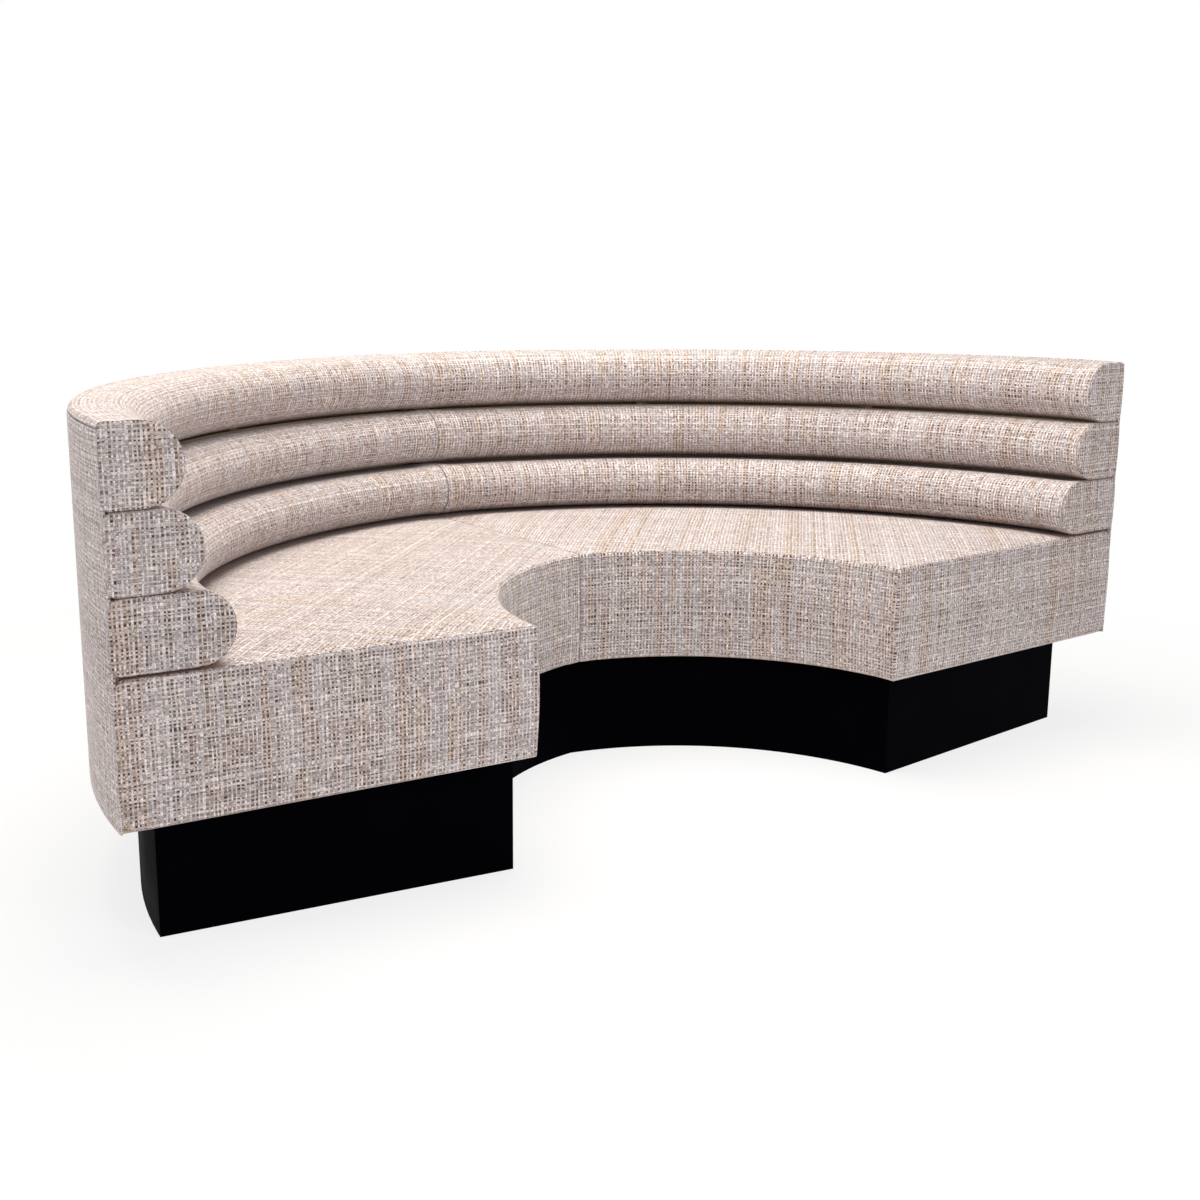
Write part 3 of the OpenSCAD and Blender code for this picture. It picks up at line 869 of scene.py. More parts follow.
@dataclass
class Upholstery:
    """All of the sewn pads of the two modules.

    The shifts move each pad's place on its length of cloth, so that no two pads show the
    same threads.
    """

    seat: SeatShape = field(default_factory=SeatShape)
    rolls: tuple[RollShape, ...] = ROLLS
    back: BackShape = field(default_factory=BackShape)
    filling: Filling = field(default_factory=Filling)
    seat_edge: float = 0.005
    roll_edge: float = 0.003
    back_edge: float = 0.001
    back_inset: float = 0.0018
    seam_edge: float = 0.002
    seam_depth: float = 0.0008
    steps: int = 110
    left_shift: tuple[float, float] = (3.17, 1.43)
    roll_shift: tuple[float, float] = (0.31, 0.77)
    back_shift: float = 0.9
    seat_fill: float = 0.95
    roll_fill: float = 0.9
    back_fill: float = 0.8

    def build(self, side: Side, cloth: bpy.types.Material) -> None:
        """Builds one module's pads, dresses them and puts them on the bench's body.

        Args:
            side: The module.
            cloth: The tweed.
        """
        u, v = (0.0, 0.0) if side is Side.RIGHT else self.left_shift
        rings = all_stations(self.seat_edge, self.seam_edge, self.seam_depth, self.steps)
        seat = Loft(f"{side.word}_seat_pad", self.seat.section(), rings, side, (u, v),
                    self.filling)
        self.finish(seat.build(), cloth, self.seat_fill,
                    "seat_cover", "seat_foam", "seat_side_foam")
        rings = all_stations(self.roll_edge, self.seam_edge, self.seam_depth, self.steps)
        for number, shape in enumerate(self.rolls):
            start = (u + self.roll_shift[0] * number, v + self.roll_shift[1] * number)
            roll = Loft(f"{side.word}_{shape.name}_pad", shape.section(), rings, side, start,
                        self.filling)
            foams = ["roll_foams"] if number == 0 else []
            self.finish(roll.build(), cloth, self.roll_fill, f"{shape.name}_cover", *foams)
        rings = all_stations(self.back_edge, self.seam_edge, 0.0, self.steps, self.back_inset)
        back = Loft(f"{side.word}_back_pad", self.back.section(), rings, side,
                    (u + self.back_shift, v))
        self.finish(back.build(), cloth, self.back_fill, "outer_back_cover")

    @staticmethod
    def finish(pad: bpy.types.Object, cloth: bpy.types.Material, fill: float,
               *nodes: str) -> None:
        """Smooths a pad, gives it its cloth and puts it in place of its CAD nodes.

        Args:
            pad: The pad.
            cloth: The tweed.
            fill: How tight the pad is, from 0 to 1. Not used.
            *nodes: The nodes that it stands for, without their side.
        """
        side = pad.name.split("_")[0]
        smooth = pad.modifiers.new("smooth", "SUBSURF")
        smooth.levels = smooth.render_levels = 1
        pad.data.materials.append(cloth)
        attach(pad, BODY)
        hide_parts(*[f"{side}_{node}" for node in nodes])
        log.info("%s: %d faces", pad.name, len(pad.data.polygons))


# Shader maths

Value = Union["Sock", float, int]
Colour = tuple[float, float, float]
WHITE: Colour = (1.0, 1.0, 1.0)


class Draw(Enum):
    """The tweed's sets of random draws, each with its seed."""

    SPLIT = 0.0
    WARP_COLOUR = 1.0
    WEFT_COLOUR = 5.0
    DARK_ROW = 8.0
    CROSSING_SHADE = 9.0
    DARK_SPOT = 14.0
    HOLE_COLOUR = 15.0
    CROSSED = 31.0
    STRIP_KIND = 41.0
    STRIP_CHANGE = 42.0
    STRIP_START = 43.0
    STRIP_WIDTHS = 44.0
    CHANGED_KIND = 47.0
    ROW_SHADE = 90.0
    DIM_ROW = 92.0


class Sock:
    """A node socket with arithmetic: an expression on it adds the Math nodes."""

    def __init__(self, tree: "Tree", out: bpy.types.NodeSocket) -> None:
        """Keeps the tree and the output socket."""
        self.tree, self.out = tree, out

    def math(self, operation: str, *others: Value) -> "Sock":
        """Adds a Math node with this socket as its first value."""
        return self.tree.math(operation, self, *others)

    def __add__(self, other: Value) -> "Sock":
        """Sum."""
        return self.math("ADD", other)

    def __radd__(self, other: Value) -> "Sock":
        """Sum with a number first."""
        return self.tree.math("ADD", other, self)

    def __sub__(self, other: Value) -> "Sock":
        """Difference."""
        return self.math("SUBTRACT", other)

    def __rsub__(self, other: Value) -> "Sock":
        """Difference with a number first."""
        return self.tree.math("SUBTRACT", other, self)

    def __mul__(self, other: Value) -> "Sock":
        """Product."""
        return self.math("MULTIPLY", other)

    def __rmul__(self, other: Value) -> "Sock":
        """Product with a number first."""
        return self.tree.math("MULTIPLY", other, self)

    def __truediv__(self, other: Value) -> "Sock":
        """Quotient."""
        return self.math("DIVIDE", other)

    def floor(self) -> "Sock":
        """Whole part."""
        return self.math("FLOOR")

    def fract(self) -> "Sock":
        """Part after the point."""
        return self.math("FRACT")

    def above(self, limit: Value) -> "Sock":
        """1 where the value is above the limit, otherwise 0."""
        return self.math("GREATER_THAN", limit)

    def share(self) -> "Sock":
        """The value kept between 0 and 1."""
        return self.math("MAXIMUM", 0.0).math("MINIMUM", 1.0)

    def ramp(self, low: float, high: float, to_low: float = 0.0, to_high: float = 1.0) -> "Sock":
        """The value eased from one range to another."""
        return self.tree.add("ShaderNodeMapRange", {"interpolation_type": "SMOOTHSTEP"}, Value=self,
                             From_Min=low, From_Max=high, To_Min=to_low, To_Max=to_high)

    def bands(self, stops: Sequence[tuple[float, Colour]]) -> "Sock":
        """The colour of the last stop that the value has reached."""
        return self.tree.add("ShaderNodeValToRGB", {"stops": stops}, Fac=self)


class Tree:
    """The node tree of a material or of the world, with one method for any node."""

    def __init__(self, owner: Union[bpy.types.Material, bpy.types.World]) -> None:
        """Empties the owner's tree and gives it an output.

        Args:
            owner: The material or world.
        """
        owner.use_nodes = True
        self.owner, self.nodes = owner, owner.node_tree.nodes
        self.nodes.clear()
        kind = "World" if isinstance(owner, bpy.types.World) else "Material"
        self.result = self.nodes.new(f"ShaderNodeOutput{kind}")

    @classmethod
    def of_material(cls, name: str) -> "Tree":
        """The tree of a new material."""
        return cls(bpy.data.materials.new(name))

    def add(self, kind: str, settings: Optional[dict[str, Any]] = None,
            output: Union[str, int] = 0, **sockets: Any) -> Sock:
        """Adds a node.

        Args:
            kind: Its type.
            settings: Properties set before its sockets, or a ramp's stops.
            output: The output to return.
            **sockets: Values or links by input name, with _ for a space, or by number as in0.

        Returns:
            The chosen output.
        """
        node = self.nodes.new(kind)
        for key, value in (settings or {}).items():
            if key == "stops":
                self.set_stops(node.color_ramp, value)
            else:
                setattr(node, key, value)
        for key, value in sockets.items():
            numbered = key.startswith("in") and key[2:].isdigit()
            self.put(node.inputs[int(key[2:]) if numbered else key.replace("_", " ")], value)
        return Sock(self, node.outputs[output])

    def put(self, socket: bpy.types.NodeSocket, value: Any) -> None:
        """Links or sets one input.

        Args:
            socket: The input.
            value: A socket to link, or its value.
        """
        if isinstance(value, Sock):
            self.owner.node_tree.links.new(value.out, socket)
        elif isinstance(value, tuple) and len(value) == 3 and socket.type == "RGBA":
            socket.default_value = (*value, 1.0)
        else:
            socket.default_value = value

    @staticmethod
    def set_stops(ramp: bpy.types.ColorRamp, stops: Sequence[tuple[float, Colour]]) -> None:
        """Sets a colour ramp's stops, without blending between them.

        Args:
            ramp: The ramp.
            stops: Places and colours in order.
        """
        ramp.interpolation = "CONSTANT"
        while len(ramp.elements) < len(stops):
            ramp.elements.new(1.0)
        for element, (place, colour) in zip(ramp.elements, stops):
            element.position = place
            element.color = (*colour, 1.0)

    def math(self, operation: str, *values: Value) -> Sock:
        """Adds a Math node."""
        return self.add("ShaderNodeMath", {"operation": operation},
                        **{f"in{i}": value for i, value in enumerate(values)})

    def mix(self, factor: Value, a: Any, b: Any, blend: str = "MIX") -> Sock:
        """Mixes two colours."""
        return self.add("ShaderNodeMix", {"data_type": "RGBA", "blend_type": blend,
                                          "clamp_factor": True}, 2, in0=factor, in6=a, in7=b)

    def tint(self, factor: Value, colour: Any, tint: Colour) -> Sock:
        """A colour multiplied by a tint where the factor is 1."""
        return self.mix(factor, colour, self.mix(1.0, colour, tint, "MULTIPLY"))

    def vector(self, x: Value = 0.0, y: Value = 0.0, z: Value = 0.0) -> Sock:
        """Joins three numbers."""
        return self.add("ShaderNodeCombineXYZ", in0=x, in1=y, in2=z)

    def draw(self, a: Value, b: Value, drawn: Draw) -> Sock:
        """A random number of one set for each whole a and b."""
        return self.add("ShaderNodeTexWhiteNoise", {"noise_dimensions": "3D"},
                        Vector=self.vector(a, b, drawn.value))

    def noise(self, place: Sock, scale: float, detail: float = 2.0, roughness: float = 0.5,
              output: int = 0) -> Sock:
        """Smooth noise."""
        return self.add("ShaderNodeTexNoise", {"noise_dimensions": "3D"}, output, Vector=place,
                        Scale=scale, Detail=detail, Roughness=roughness)

    def objects(self) -> Sock:
        """Object coordinates."""
        return self.add("ShaderNodeTexCoord", output="Object")

    def stored(self, name: str) -> Sock:
        """A number that the mesh stores at each point."""
        return self.add("ShaderNodeAttribute",
                        {"attribute_name": name, "attribute_type": "GEOMETRY"}, "Fac")

    def split(self, vector: Sock) -> tuple[Sock, Sock, Sock]:
        """The three numbers of a vector."""
        first = self.add("ShaderNodeSeparateXYZ", in0=vector)
        return tuple(Sock(self, out) for out in first.out.node.outputs)

    def seen(self) -> Sock:
        """1 for what the camera sees, also in a reflection or through glass."""
        camera, glossy, through = (self.add("ShaderNodeLightPath", output=f"Is {kind} Ray")
                                   for kind in ("Camera", "Glossy", "Transmission"))
        return camera.math("MAXIMUM", glossy).math("MAXIMUM", through)

    def surface(self, colour: Any, roughness: Any, bump: Optional[Sock] = None,
                depth: float = 0.001, strength: float = 1.0, **plain: Any) -> bpy.types.Material:
        """Ends the material in a Principled shader.

        Args:
            colour: Base colour.
            roughness: Roughness.
            bump: Height of the surface's grain, 0 to 1, or None.
            depth: Depth of the grain in metres.
            strength: Strength of the grain.
            **plain: Constants for other sockets.

        Returns:
            The finished material.
        """
        more = dict(plain)
        if bump is not None:
            more["Normal"] = self.add("ShaderNodeBump", Height=bump, Distance=depth,
                                      Strength=strength)
        shader = self.add("ShaderNodeBsdfPrincipled", Base_Color=colour, Roughness=roughness,
                          **more)
        self.put(self.result.inputs["Surface"], shader)
        return self.owner


# Finishes


@dataclass(frozen=True)
class Yarns:
    """One set of yarns, upright or level: unequal yarns lie side by side in pairs.

    pair is the pair's number, first is 1 on its first yarn, number is the yarn's own, and
    across runs from -0.5 to 0.5 over its width.
    """

    pair: Sock
    first: Sock
    number: Sock
    across: Sock

    def crest(self, fall: float) -> Sock:
        """Height of the yarns' round backs, which fall away to their edges."""
        return (1.0 - self.across * self.across * fall).math("SQRT")


@dataclass(frozen=True)
class Place:
    """A place on the tweed: where it is, the yarns that cross there, and its strip's kind."""

    x: Sock
    y: Sock
    warp: Yarns
    weft: Yarns
    grey: Sock
    tan: Sock
    rose: Sock


@dataclass(frozen=True)
class Tweed:
    """The chunky tweed of all the upholstery. Sizes are in metres.

    In each pair of upright yarns one lies on top. Beside it the level yarns show, and in the
    holes that are left sits a darker yarn. Strips of uprights are greyed, tan, rose or pale.
    Heights run from 0 to 1. Where the cloth lies low and in creases its colour is darkened and
    browned as painted shade. Where a value varies, its field holds the least and the spread,
    and a range holds its two ends.
    """

    warp_pair: float = 0.0073
    weft_pair: float = 0.0070
    warp_share: tuple[float, float] = (0.38, 0.25)
    weft_share: tuple[float, float] = (0.46, 0.26)
    warp_seed: float = 61.0
    weft_seed: float = 62.0
    warp_fall: float = 2.8
    weft_fall: float = 3.2
    top_height: tuple[float, float] = (0.66, 0.34)
    level_height: float = 0.90
    hole_height: tuple[float, float] = (0.62, 0.2)
    plain_crossings: float = 0.82
    drift_scale: float = 30.0
    drift: tuple[float, float] = (0.0040, 0.0050)
    swelling_scale: float = 95.0
    swelling: tuple[float, float] = (0.0044, 0.0070)
    strip_splits: tuple[float, float] = (0.20, 0.40)
    strip_length: float = 16.0
    strip_keeps: float = 0.80
    kind_limits: tuple[float, float, float] = (0.40, 0.61, 0.73)
    fibre_scale: float = 480.0
    grain: float = 0.0008
    grain_strength: float = 0.6
    roughness: float = 0.95
    low_shade: float = 0.25
    high_shade: float = 0.73
    crossing_shade: tuple[float, float] = (0.69, 0.62)
    seam_width: tuple[float, float] = (0.0004, 0.0013)
    seam_shade: float = 0.16
    slub_across: float = 260.0
    slub_along: float = 150.0
    slub_range: tuple[float, float] = (0.52, 0.64)
    patch_scale: tuple[float, float] = (60.0, 40.0)
    dark: Colour = (0.12, 0.070, 0.058)
    dark_rows: tuple[float, float] = (0.62, 0.90)
    dark_start: float = 1.25
    dark_by_patch: float = 1.6
    dark_by_row: float = 0.70
    dark_by_second_row: float = 0.50
    dark_by_spot: float = 1.6
    dark_by_tan: float = 0.12
    dark_width: tuple[float, float] = (0.24, 0.40)
    # Painted shade in the weave: where the cloth lies low, between and beside the yarns, its colour
    # is browned by the tint below and darkened down to low_shade.
    gap_heights: tuple[float, float] = (0.30, 0.78)
    shade_heights: tuple[float, float] = (0.12, 0.9)
    gap_tint: Colour = (0.80, 0.68, 0.61)
    # Painted shade in creases, where the colour is darkened and browned.
    tucked_tint: Colour = (0.60, 0.40, 0.31)
    warps: tuple[tuple[float, Colour], ...] = (
        (0.0, (0.90, 0.80, 0.78)), (0.35, (0.80, 0.71, 0.69)), (0.70, (0.86, 0.76, 0.73)))
    warp_grey: Colour = (0.82, 0.76, 0.78)
    warp_tan: Colour = (0.75, 0.59, 0.49)
    warp_rose: Colour = (0.78, 0.61, 0.60)
    warp_slub: Colour = (0.98, 0.89, 0.87)
    wefts: tuple[tuple[float, Colour], ...] = (
        (0.0, (0.72, 0.63, 0.61)), (0.35, (0.80, 0.71, 0.69)), (0.62, (0.66, 0.57, 0.56)),
        (0.86, (0.60, 0.48, 0.43)))
    weft_grey: Colour = (0.77, 0.71, 0.72)
    weft_tan: Colour = (0.66, 0.51, 0.41)
    weft_slub: Colour = (0.95, 0.86, 0.83)
    hole_low: Colour = (0.60, 0.51, 0.50)
    hole_high: Colour = (0.74, 0.64, 0.61)
    hole_tan: Colour = (0.62, 0.43, 0.32)
    hole_rose: Colour = (0.66, 0.47, 0.46)

    def build(self) -> bpy.types.Material:
        """Makes the material, which reads the pads' weave map and their stored marks.

        Returns:
            The material.
        """
        t = Tree.of_material("woven_tweed")
        p = self.place(t)
        crossed = t.draw(p.warp.number, p.weft.number, Draw.CROSSED).above(self.plain_crossings)
        over = p.warp.first * (1.0 - crossed)
        hole = (1.0 - p.weft.first) * (1.0 - crossed)
        height = self.height(p, over, hole)
        thread = t.mix(hole, self.weft_colour(t, p), self.hole_colour(t, p))
        thread = t.mix(over, thread, self.warp_colour(t, p))
        # Painted shade: the colour browns where the yarns lie low.
        thread = t.tint(height.ramp(*self.gap_heights, 1.0, 0.0), thread, self.gap_tint)
        # Painted shade in creases.
        thread = t.tint(t.stored("tucked"), thread, self.tucked_tint)
        seam = t.stored("sewn").ramp(*self.seam_width, 1.0, 0.0)
        # Painted shade: the colour darkens where the yarns lie low.
        shade = height.ramp(*self.shade_heights, self.low_shade, self.high_shade)
        shade = shade * self.unevenness(t, p) * (1.0 - seam * self.seam_shade)
        tone = t.add("ShaderNodeVectorMath", {"operation": "SCALE"}, Vector=thread, Scale=shade)
        return t.surface(tone, self.roughness, height - seam, self.grain, self.grain_strength,
                         Specular_IOR_Level=0.25, Sheen_Weight=0.2, Sheen_Roughness=0.5)

    def place(self, t: Tree) -> Place:
        """Finds the yarns and the strip at each place of the weave map.

        Args:
            t: The material's tree.

        Returns:
            The place.
        """
        x, y = self.uneven(t, t.add("ShaderNodeUVMap", {"uv_map": WEAVE}))
        warp = self.yarns(t, x, self.warp_pair, self.warp_share, self.warp_seed)
        weft = self.yarns(t, y, self.weft_pair, self.weft_share, self.weft_seed)
        return Place(x, y, warp, weft, *self.kinds(t, warp.pair, weft.pair))

    def uneven(self, t: Tree, weave: Sock) -> tuple[Sock, Sock]:
        """Shifts the place on the cloth so that yarns wander and vary in thickness.

        Args:
            t: The material's tree.
            weave: The weave map.

        Returns:
            The place across the upright and across the level yarns.
        """
        x, y, _ = t.split(weave)
        side, rise, _ = t.split(t.noise(weave, self.drift_scale, 1.0, output=1))
        x = x + (side - 0.5) * self.drift[0]
        y = y + (rise - 0.5) * self.drift[1]
        thick_x = t.noise(t.vector(x * self.swelling_scale, 0.0, 1.0), 1.0, 0.0)
        thick_y = t.noise(t.vector(0.0, y * self.swelling_scale, 4.0), 1.0, 0.0)
        return x + (thick_x - 0.5) * self.swelling[0], y + (thick_y - 0.5) * self.swelling[1]

    @staticmethod
    def yarns(t: Tree, place: Sock, pitch: float, split: tuple[float, float],
              seed: float) -> Yarns:
        """Splits one direction of the cloth into pairs of yarns of unequal width.

        Args:
            t: The material's tree.
            place: Place along that direction.
            pitch: Width of a pair.
            split: Least share of the pair that its first yarn takes, and how much more it may.
            seed: Number that sets these yarns apart from the others.

        Returns:
            The yarns.
        """
        pair, part = (place / pitch).floor(), (place / pitch).fract()
        edge = t.draw(pair, seed, Draw.SPLIT) * split[1] + split[0]
        second = part.above(edge)
        across = part / edge * (1.0 - second) + (part - edge) / (1.0 - edge) * second - 0.5
        return Yarns(pair, 1.0 - second, pair * 2.0 + second, across)

    def kinds(self, t: Tree, i: Sock, j: Sock) -> tuple[Sock, Sock, Sock]:
        """Lays out strips of one to three pairs of uprights, which may change along the way.

        Args:
            t: The material's tree.
            i: Number of the pair of uprights.
            j: Number of the pair of level yarns.

        Returns:
            Where the uprights are greyed, tan and rose.
        """
        third = (i / 3.0).floor()
        within = i - third * 3.0
        split = t.draw(third, 0.0, Draw.STRIP_WIDTHS)
        late, each = split.above(self.strip_splits[0]), split.above(self.strip_splits[1])
        strip = within.above(0.5) * (1.0 - late) + within.above(1.5) * (late - each)
        strip = strip + within * each + third * 3.0
        length = (j / self.strip_length + t.draw(strip, 0.0, Draw.STRIP_START) * 3.0).floor()
        change = t.draw(strip, length, Draw.STRIP_CHANGE).above(self.strip_keeps)
        kind = t.draw(strip, 0.0, Draw.STRIP_KIND) * (1.0 - change)
        kind = kind + t.draw(strip, length, Draw.CHANGED_KIND) * change
        to_tan, to_rose, to_pale = (kind.above(limit) for limit in self.kind_limits)
        return 1.0 - to_tan, to_tan - to_rose, to_rose - to_pale

    def height(self, p: Place, over: Sock, hole: Sock) -> Sock:
        """Height of the cloth, from 0 to 1.

        Args:
            p: The place.
            over: 1 where an upright yarn lies on top.
            hole: 1 in the holes beside it.

        Returns:
            The height.
        """
        upright, level = p.warp.crest(self.warp_fall), p.weft.crest(self.weft_fall)
        sunk = upright * level * (p.grey * self.hole_height[1] + self.hole_height[0])
        between = level * self.level_height * (1.0 - hole) + sunk * hole
        top = upright * (level * self.top_height[1] + self.top_height[0])
        return top * over + between * (1.0 - over)

    def unevenness(self, t: Tree, p: Place) -> Sock:
        """Brightness of the cloth, which varies between crossings, rows and fibres.

        Args:
            t: The material's tree.
            p: The place.

        Returns:
            A factor about 1.
        """
        least, spread = self.crossing_shade
        crossing = t.draw(p.warp.number, p.weft.number, Draw.CROSSING_SHADE) * spread + least
        row = t.draw(p.weft.first, p.weft.pair, Draw.ROW_SHADE) * 0.06 + 1.0
        row = row - t.draw(0.0, p.weft.pair, Draw.DIM_ROW).ramp(0.50, 1.0, 0.0, 0.12)
        fibres = t.noise(t.vector(p.x, p.y, 5.0), self.fibre_scale, 0.0)
        return crossing * row * fibres.ramp(0.26, 0.74, 0.75, 1.23)

    def warp_colour(self, t: Tree, p: Place) -> Sock:
        """Colour of the upright yarns on top, with thick pale stretches.

        Args:
            t: The material's tree.
            p: The place.

        Returns:
            The colour.
        """
        colour = t.draw(p.warp.pair, 0.0, Draw.WARP_COLOUR).bands(self.warps)
        colour = t.mix(p.grey * 0.6, colour, self.warp_grey)
        colour = t.mix(p.tan * 0.65, colour, self.warp_tan)
        colour = t.mix(p.rose * 0.6, colour, self.warp_rose)
        slub = t.noise(t.vector(p.x * self.slub_across, p.y * self.slub_along, 2.0), 1.0, 1.0)
        slub = slub.ramp(*self.slub_range)
        return t.mix(slub * (0.8 - p.grey * 0.3), colour, self.warp_slub)

    def weft_colour(self, t: Tree, p: Place) -> Sock:
        """Colour of the level yarns, with short pale stretches.

        Args:
            t: The material's tree.
            p: The place.

        Returns:
            The colour.
        """
        colour = t.draw(0.0, p.weft.number, Draw.WEFT_COLOUR).bands(self.wefts)
        colour = t.mix(p.grey * 0.6, colour, self.weft_grey)
        colour = t.mix(p.tan * 0.5, colour, self.weft_tan)
        slub = t.noise(t.vector(p.x * self.slub_along, p.y * self.slub_across, 6.0), 1.0, 1.0)
        return t.mix(slub.ramp(*self.slub_range, 0.0, 0.5), colour, self.weft_slub)

    def hole_colour(self, t: Tree, p: Place) -> Sock:
        """Colour in the holes. In some spots and rows, mostly every second, they are dark.

        Args:
            t: The material's tree.
            p: The place.

        Returns:
            The colour.
        """
        row = t.draw(0.0, p.weft.pair, Draw.DARK_ROW).ramp(*self.dark_rows)
        wide, high = self.patch_scale
        patch = t.noise(t.vector(p.x * wide, p.y * high, 3.0), 1.0, 1.0)
        spot = t.draw(p.warp.number, p.weft.number, Draw.DARK_SPOT)
        second_row = (p.weft.pair * 0.5).fract() * 2.0
        dark = patch * self.dark_by_patch + row * self.dark_by_row
        dark = dark + second_row * self.dark_by_second_row + spot * self.dark_by_spot
        dark = (dark + p.tan * self.dark_by_tan - self.dark_start).share()
        dark = dark * (1.0 - p.grey * (0.50 - row * 0.30))
        dark = dark * p.weft.across.math("ABSOLUTE").ramp(*self.dark_width, 1.0, 0.15)
        tone = t.draw(p.warp.pair, 0.0, Draw.HOLE_COLOUR)
        colour = t.mix(tone, self.hole_low, self.hole_high)
        colour = t.mix(p.tan * 0.7, colour, self.hole_tan)
        colour = t.mix(p.rose * 0.6, colour, self.hole_rose)
        return t.mix(dark, colour, self.dark)


@dataclass(frozen=True)
class Laminate:
    """Black satin laminate of the plinth."""

    colour: Colour = (0.0006, 0.0006, 0.0014)
    clouding: float = 1.5

    def build(self) -> bpy.types.Material:
        """Makes the material, with a faint unevenness of its gloss.

        Returns:
            The material.
        """
        t = Tree.of_material("black_laminate")
        cloud = t.noise(t.objects(), 7.0, 3.0)
        grain = t.noise(t.objects(), 900.0, 1.0)
        pale = tuple(self.clouding * c for c in self.colour)
        return t.surface(t.mix(cloud.ramp(0.35, 0.7), self.colour, pale),
                         cloud.ramp(0.3, 0.7, 0.5, 0.62), grain, 0.00008, 0.5,
                         Specular_IOR_Level=0.006)


@dataclass(frozen=True)
class Ply:
    """Birch plywood of the hidden boards."""

    face: Colour = (0.58, 0.42, 0.25)

    def build(self) -> bpy.types.Material:
        """Makes the material: long grain with paler and darker growth bands.

        Returns:
            The material.
        """
        t = Tree.of_material("plywood")
        x, y, z = t.split(t.objects())
        grain = t.noise(t.vector(x * 6.0, y * 90.0, z * 90.0), 1.0, 4.0)
        colour = t.mix(grain.ramp(0.3, 0.7), tuple(0.8 * c for c in self.face), self.face)
        return t.surface(colour, grain.ramp(0.3, 0.7, 0.5, 0.65), grain, 0.0002, 0.4)


@dataclass(frozen=True)
class Beech:
    """Solid beech of the posts."""

    face: Colour = (0.50, 0.31, 0.17)

    def build(self) -> bpy.types.Material:
        """Makes the material: upright grain with short pores.

        Returns:
            The material.
        """
        t = Tree.of_material("beech")
        x, y, z = t.split(t.objects())
        grain = t.noise(t.vector(x * 120.0, y * 120.0, z * 7.0), 1.0, 3.0)
        pore = t.noise(t.vector(x * 900.0, y * 900.0, z * 60.0), 1.0, 0.0)
        pale, deep = (tuple(level * c for c in self.face) for level in (1.2, 0.5))
        colour = t.mix(grain.ramp(0.3, 0.7), self.face, pale)
        colour = t.mix(pore.ramp(0.62, 0.7, 0.0, 0.5), colour, deep)
        return t.surface(colour, 0.5, grain, 0.0002, 0.4)


@dataclass(frozen=True)
class Steel:
    """Zinc-plated steel of the feet, nuts, screws and bolts."""

    deep: Colour = (0.52, 0.53, 0.55)
    pale: Colour = (0.66, 0.66, 0.66)

    def build(self) -> bpy.types.Material:
        """Makes the material, with the cloudy gloss of zinc plating.

        Returns:
            The material.
        """
        t = Tree.of_material("plated_steel")
        cloud = t.noise(t.objects(), 160.0, 3.0)
        return t.surface(t.mix(cloud.ramp(0.35, 0.65), self.deep, self.pale),
                         cloud.ramp(0.3, 0.7, 0.28, 0.42), cloud, 0.00005, 0.5, Metallic=1.0)


@dataclass(frozen=True)
class DustCloth:
    """Black bonded cloth under the seat."""

    deep: Colour = (0.012, 0.012, 0.013)
    pale: Colour = (0.035, 0.035, 0.037)

    def build(self) -> bpy.types.Material:
        """Makes the material: matted fibres, nearly black.

        Returns:
            The material.
        """
        t = Tree.of_material("dust_cloth")
        fibres = t.noise(t.objects(), 700.0, 3.0, 0.7)
        colour = t.mix(fibres.ramp(0.3, 0.7), self.deep, self.pale)
        return t.surface(colour, 0.9, fibres, 0.0003, 0.6)


@dataclass(frozen=True)
class Foam:
    """Cream upholstery foam."""

    deep: Colour = (0.70, 0.62, 0.38)
    pale: Colour = (0.82, 0.75, 0.50)

    def build(self) -> bpy.types.Material:
        """Makes the material: open cells seen as a fine pitted grain.

        Returns:
            The material.
        """
        t = Tree.of_material("foam")
        cells = t.noise(t.objects(), 800.0, 2.0, 0.6)
        colour = t.mix(cells.ramp(0.3, 0.7), self.deep, self.pale)
        return t.surface(colour, 0.95, cells, 0.0004, 0.6)


# Frame pieces


@dataclass
class Carcass:
    """The plinth, boards, posts and fasteners: CAD nodes, and the finish of each slot."""

    finishes: dict[str, bpy.types.Material]

    def dress(self) -> None:
        """Gives every CAD node the finish of its material slot."""
        for entry in frame["record"]["subparts"]:
            mesh = frame["nodes"][entry["node"]].data
            mesh.materials.clear()
            mesh.materials.append(self.finishes[entry["material_slot"]])


# Studio


@dataclass(frozen=True)
class Lamp:
    """A square soft lamp: its place and what it is turned to, its side, power and colour."""

    name: str
    place: tuple[float, float, float]
    aim: tuple[float, float, float]
    side: float
    power: float
    colour: Colour

    def hang(self) -> None:
        """Puts the lamp in the scene."""
        data = bpy.data.lights.new(self.name, "AREA")
        data.shape, data.size = "SQUARE", self.side
        data.energy, data.color = self.power, self.colour
        obj = bpy.data.objects.new(self.name, data)
        obj.location = self.place
        turn = (Vector(self.aim) - Vector(self.place)).to_track_quat("-Z", "Y")
        obj.rotation_euler = turn.to_euler()
        bpy.context.scene.collection.objects.link(obj)


LAMPS = (
    Lamp("key", (0.0, -3.7, 2.4), (0.1, 0.0, 0.4), 2.4, 55.0, (0.94, 0.955, 1.0)),
    Lamp("top", (-0.3, 0.35, 3.5), (-0.1, 0.1, 0.4), 2.4, 152.0, (1.0, 0.95, 0.865)),
    Lamp("side", (-4.2, 0.4, 1.9), (-0.6, 0.0, 0.5), 2.0, 46.0, (0.93, 0.95, 1.0)),
)


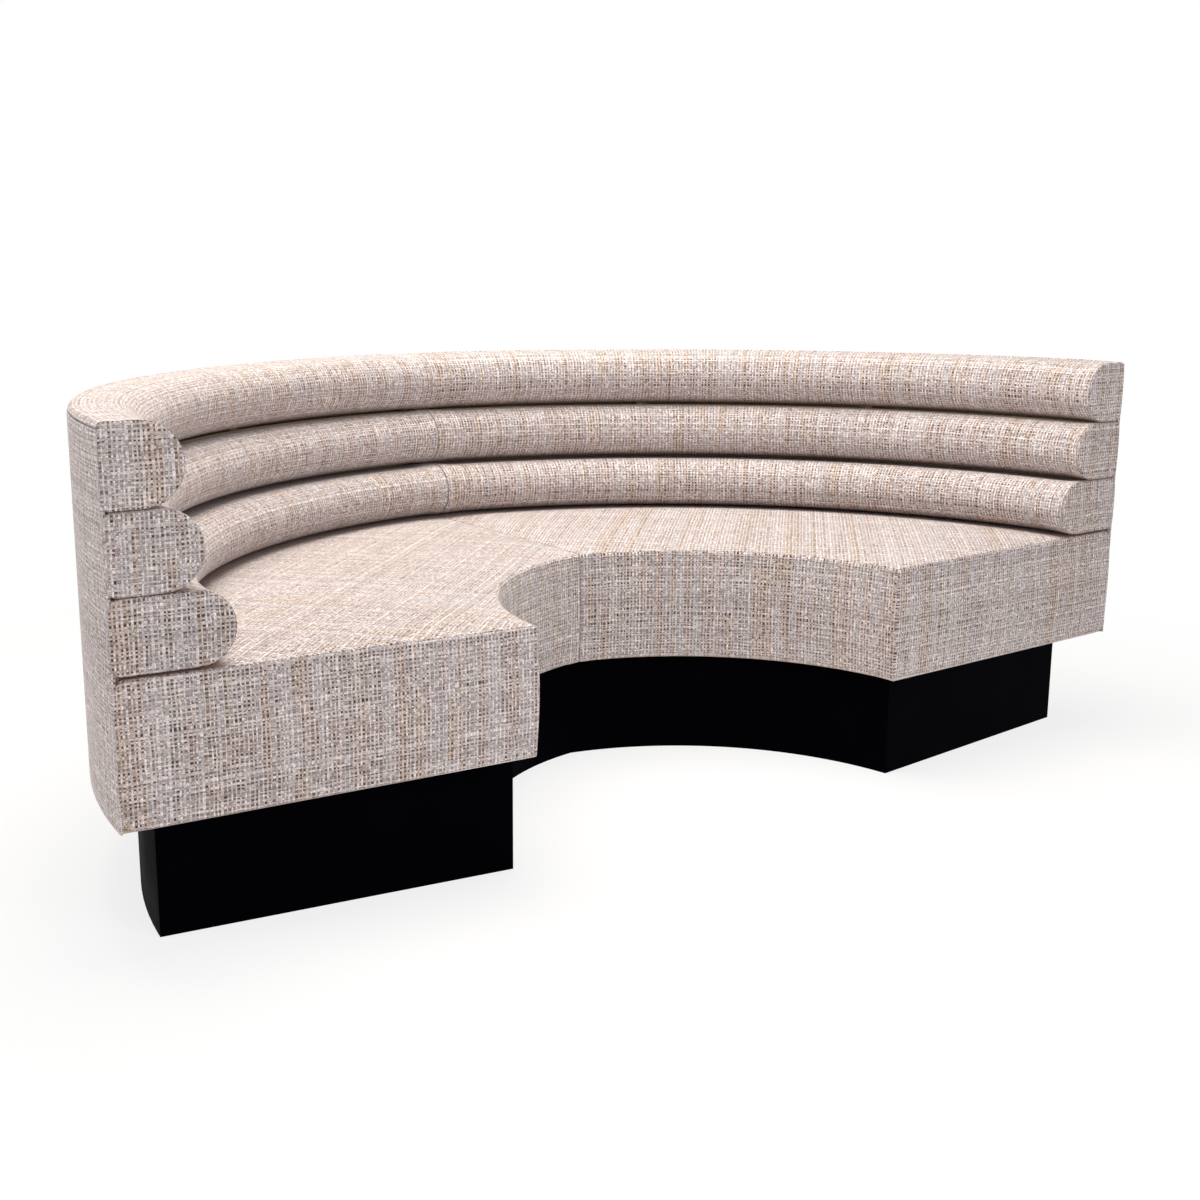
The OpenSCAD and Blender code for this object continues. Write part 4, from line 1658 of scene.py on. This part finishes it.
@dataclass(frozen=True)
class Studio:
    """Floor, lamps and camera.

    The floor turns from a lit surface to plain white over floor_fade, a distance from the
    bench's middle, and floor_white is how white it is to the camera before that.
    """

    place: tuple[float, float, float] = (-1.86846, -2.72581, 1.04703)
    yaw: float = math.radians(34.139)
    down: float = math.radians(12.348)
    focal_share: float = 1558.33 / 1200
    sensor: float = 36.0
    shift_x: float = 0.05
    clip: tuple[float, float] = (0.05, 100.0)
    world_level: float = 0.34
    world_colour: Colour = (1.0, 0.97, 0.95)
    floor_size: float = 40.0
    floor_colour: Colour = (0.80, 0.80, 0.80)
    floor_fade: tuple[float, float] = (1.2, 2.4)
    floor_white: float = 0.8
    lamps: tuple[Lamp, ...] = LAMPS

    def build(self) -> None:
        """Makes the whole studio."""
        self.floor()
        self.world()
        for lamp in self.lamps:
            lamp.hang()
        self.camera()

    def floor(self) -> None:
        """Lays a large pale floor, which is lit near the bench and white further out."""
        bm = bmesh.new()
        bmesh.ops.create_grid(bm, x_segments=1, y_segments=1, size=self.floor_size)
        mesh = bpy.data.meshes.new("floor")
        bm.to_mesh(mesh)
        bm.free()
        obj = bpy.data.objects.new("floor", mesh)
        bpy.context.scene.collection.objects.link(obj)
        t = Tree.of_material("floor")
        lit = t.add("ShaderNodeBsdfDiffuse", Color=self.floor_colour)
        white = t.add("ShaderNodeEmission", Color=WHITE, Strength=1.0)
        away = t.add("ShaderNodeVectorMath", {"operation": "LENGTH"}, "Value", Vector=t.objects())
        blank = t.seen() * away.ramp(*self.floor_fade, self.floor_white, 1.0)
        t.put(t.result.inputs["Surface"],
              t.add("ShaderNodeMixShader", in0=blank, in1=lit, in2=white))
        mesh.materials.append(t.owner)

    def world(self) -> None:
        """Makes the world white to the camera and in reflections, and a soft light otherwise."""
        world = bpy.data.worlds.new("studio")
        bpy.context.scene.world = world
        t = Tree(world)
        soft = tuple(self.world_level * c for c in self.world_colour)
        light = t.add("ShaderNodeBackground", Color=t.mix(t.seen(), soft, WHITE))
        t.put(t.result.inputs["Surface"], light)

    def camera(self) -> None:
        """Sets up the camera at the photograph's place and angle."""
        data = bpy.data.cameras.new("camera")
        data.sensor_width = self.sensor
        data.lens = self.focal_share * data.sensor_width
        data.shift_x = self.shift_x
        data.clip_start, data.clip_end = self.clip
        obj = bpy.data.objects.new("camera", data)
        obj.location = self.place
        ahead = math.cos(self.down)
        look = Vector((math.sin(self.yaw) * ahead, math.cos(self.yaw) * ahead,
                       -math.sin(self.down)))
        obj.rotation_euler = look.to_track_quat("-Z", "Y").to_euler()
        bpy.context.scene.collection.objects.link(obj)
        bpy.context.scene.camera = obj


def main() -> None:
    """Builds the pads, dresses the frame and sets up the studio."""
    logging.basicConfig(level=logging.INFO, format="%(name)s: %(message)s")
    bpy.context.scene.view_settings.view_transform = "Standard"
    cloth = Tweed().build()
    Carcass({
        "woven_cover": cloth, "black_laminate": Laminate().build(), "plywood": Ply().build(),
        "hardwood": Beech().build(), "foam": Foam().build(), "dust_cloth": DustCloth().build(),
        "steel": Steel().build(),
    }).dress()
    upholstery = Upholstery()
    for side in Side:
        upholstery.build(side, cloth)
    Studio().build()


if __name__ == "__main__":
    main()
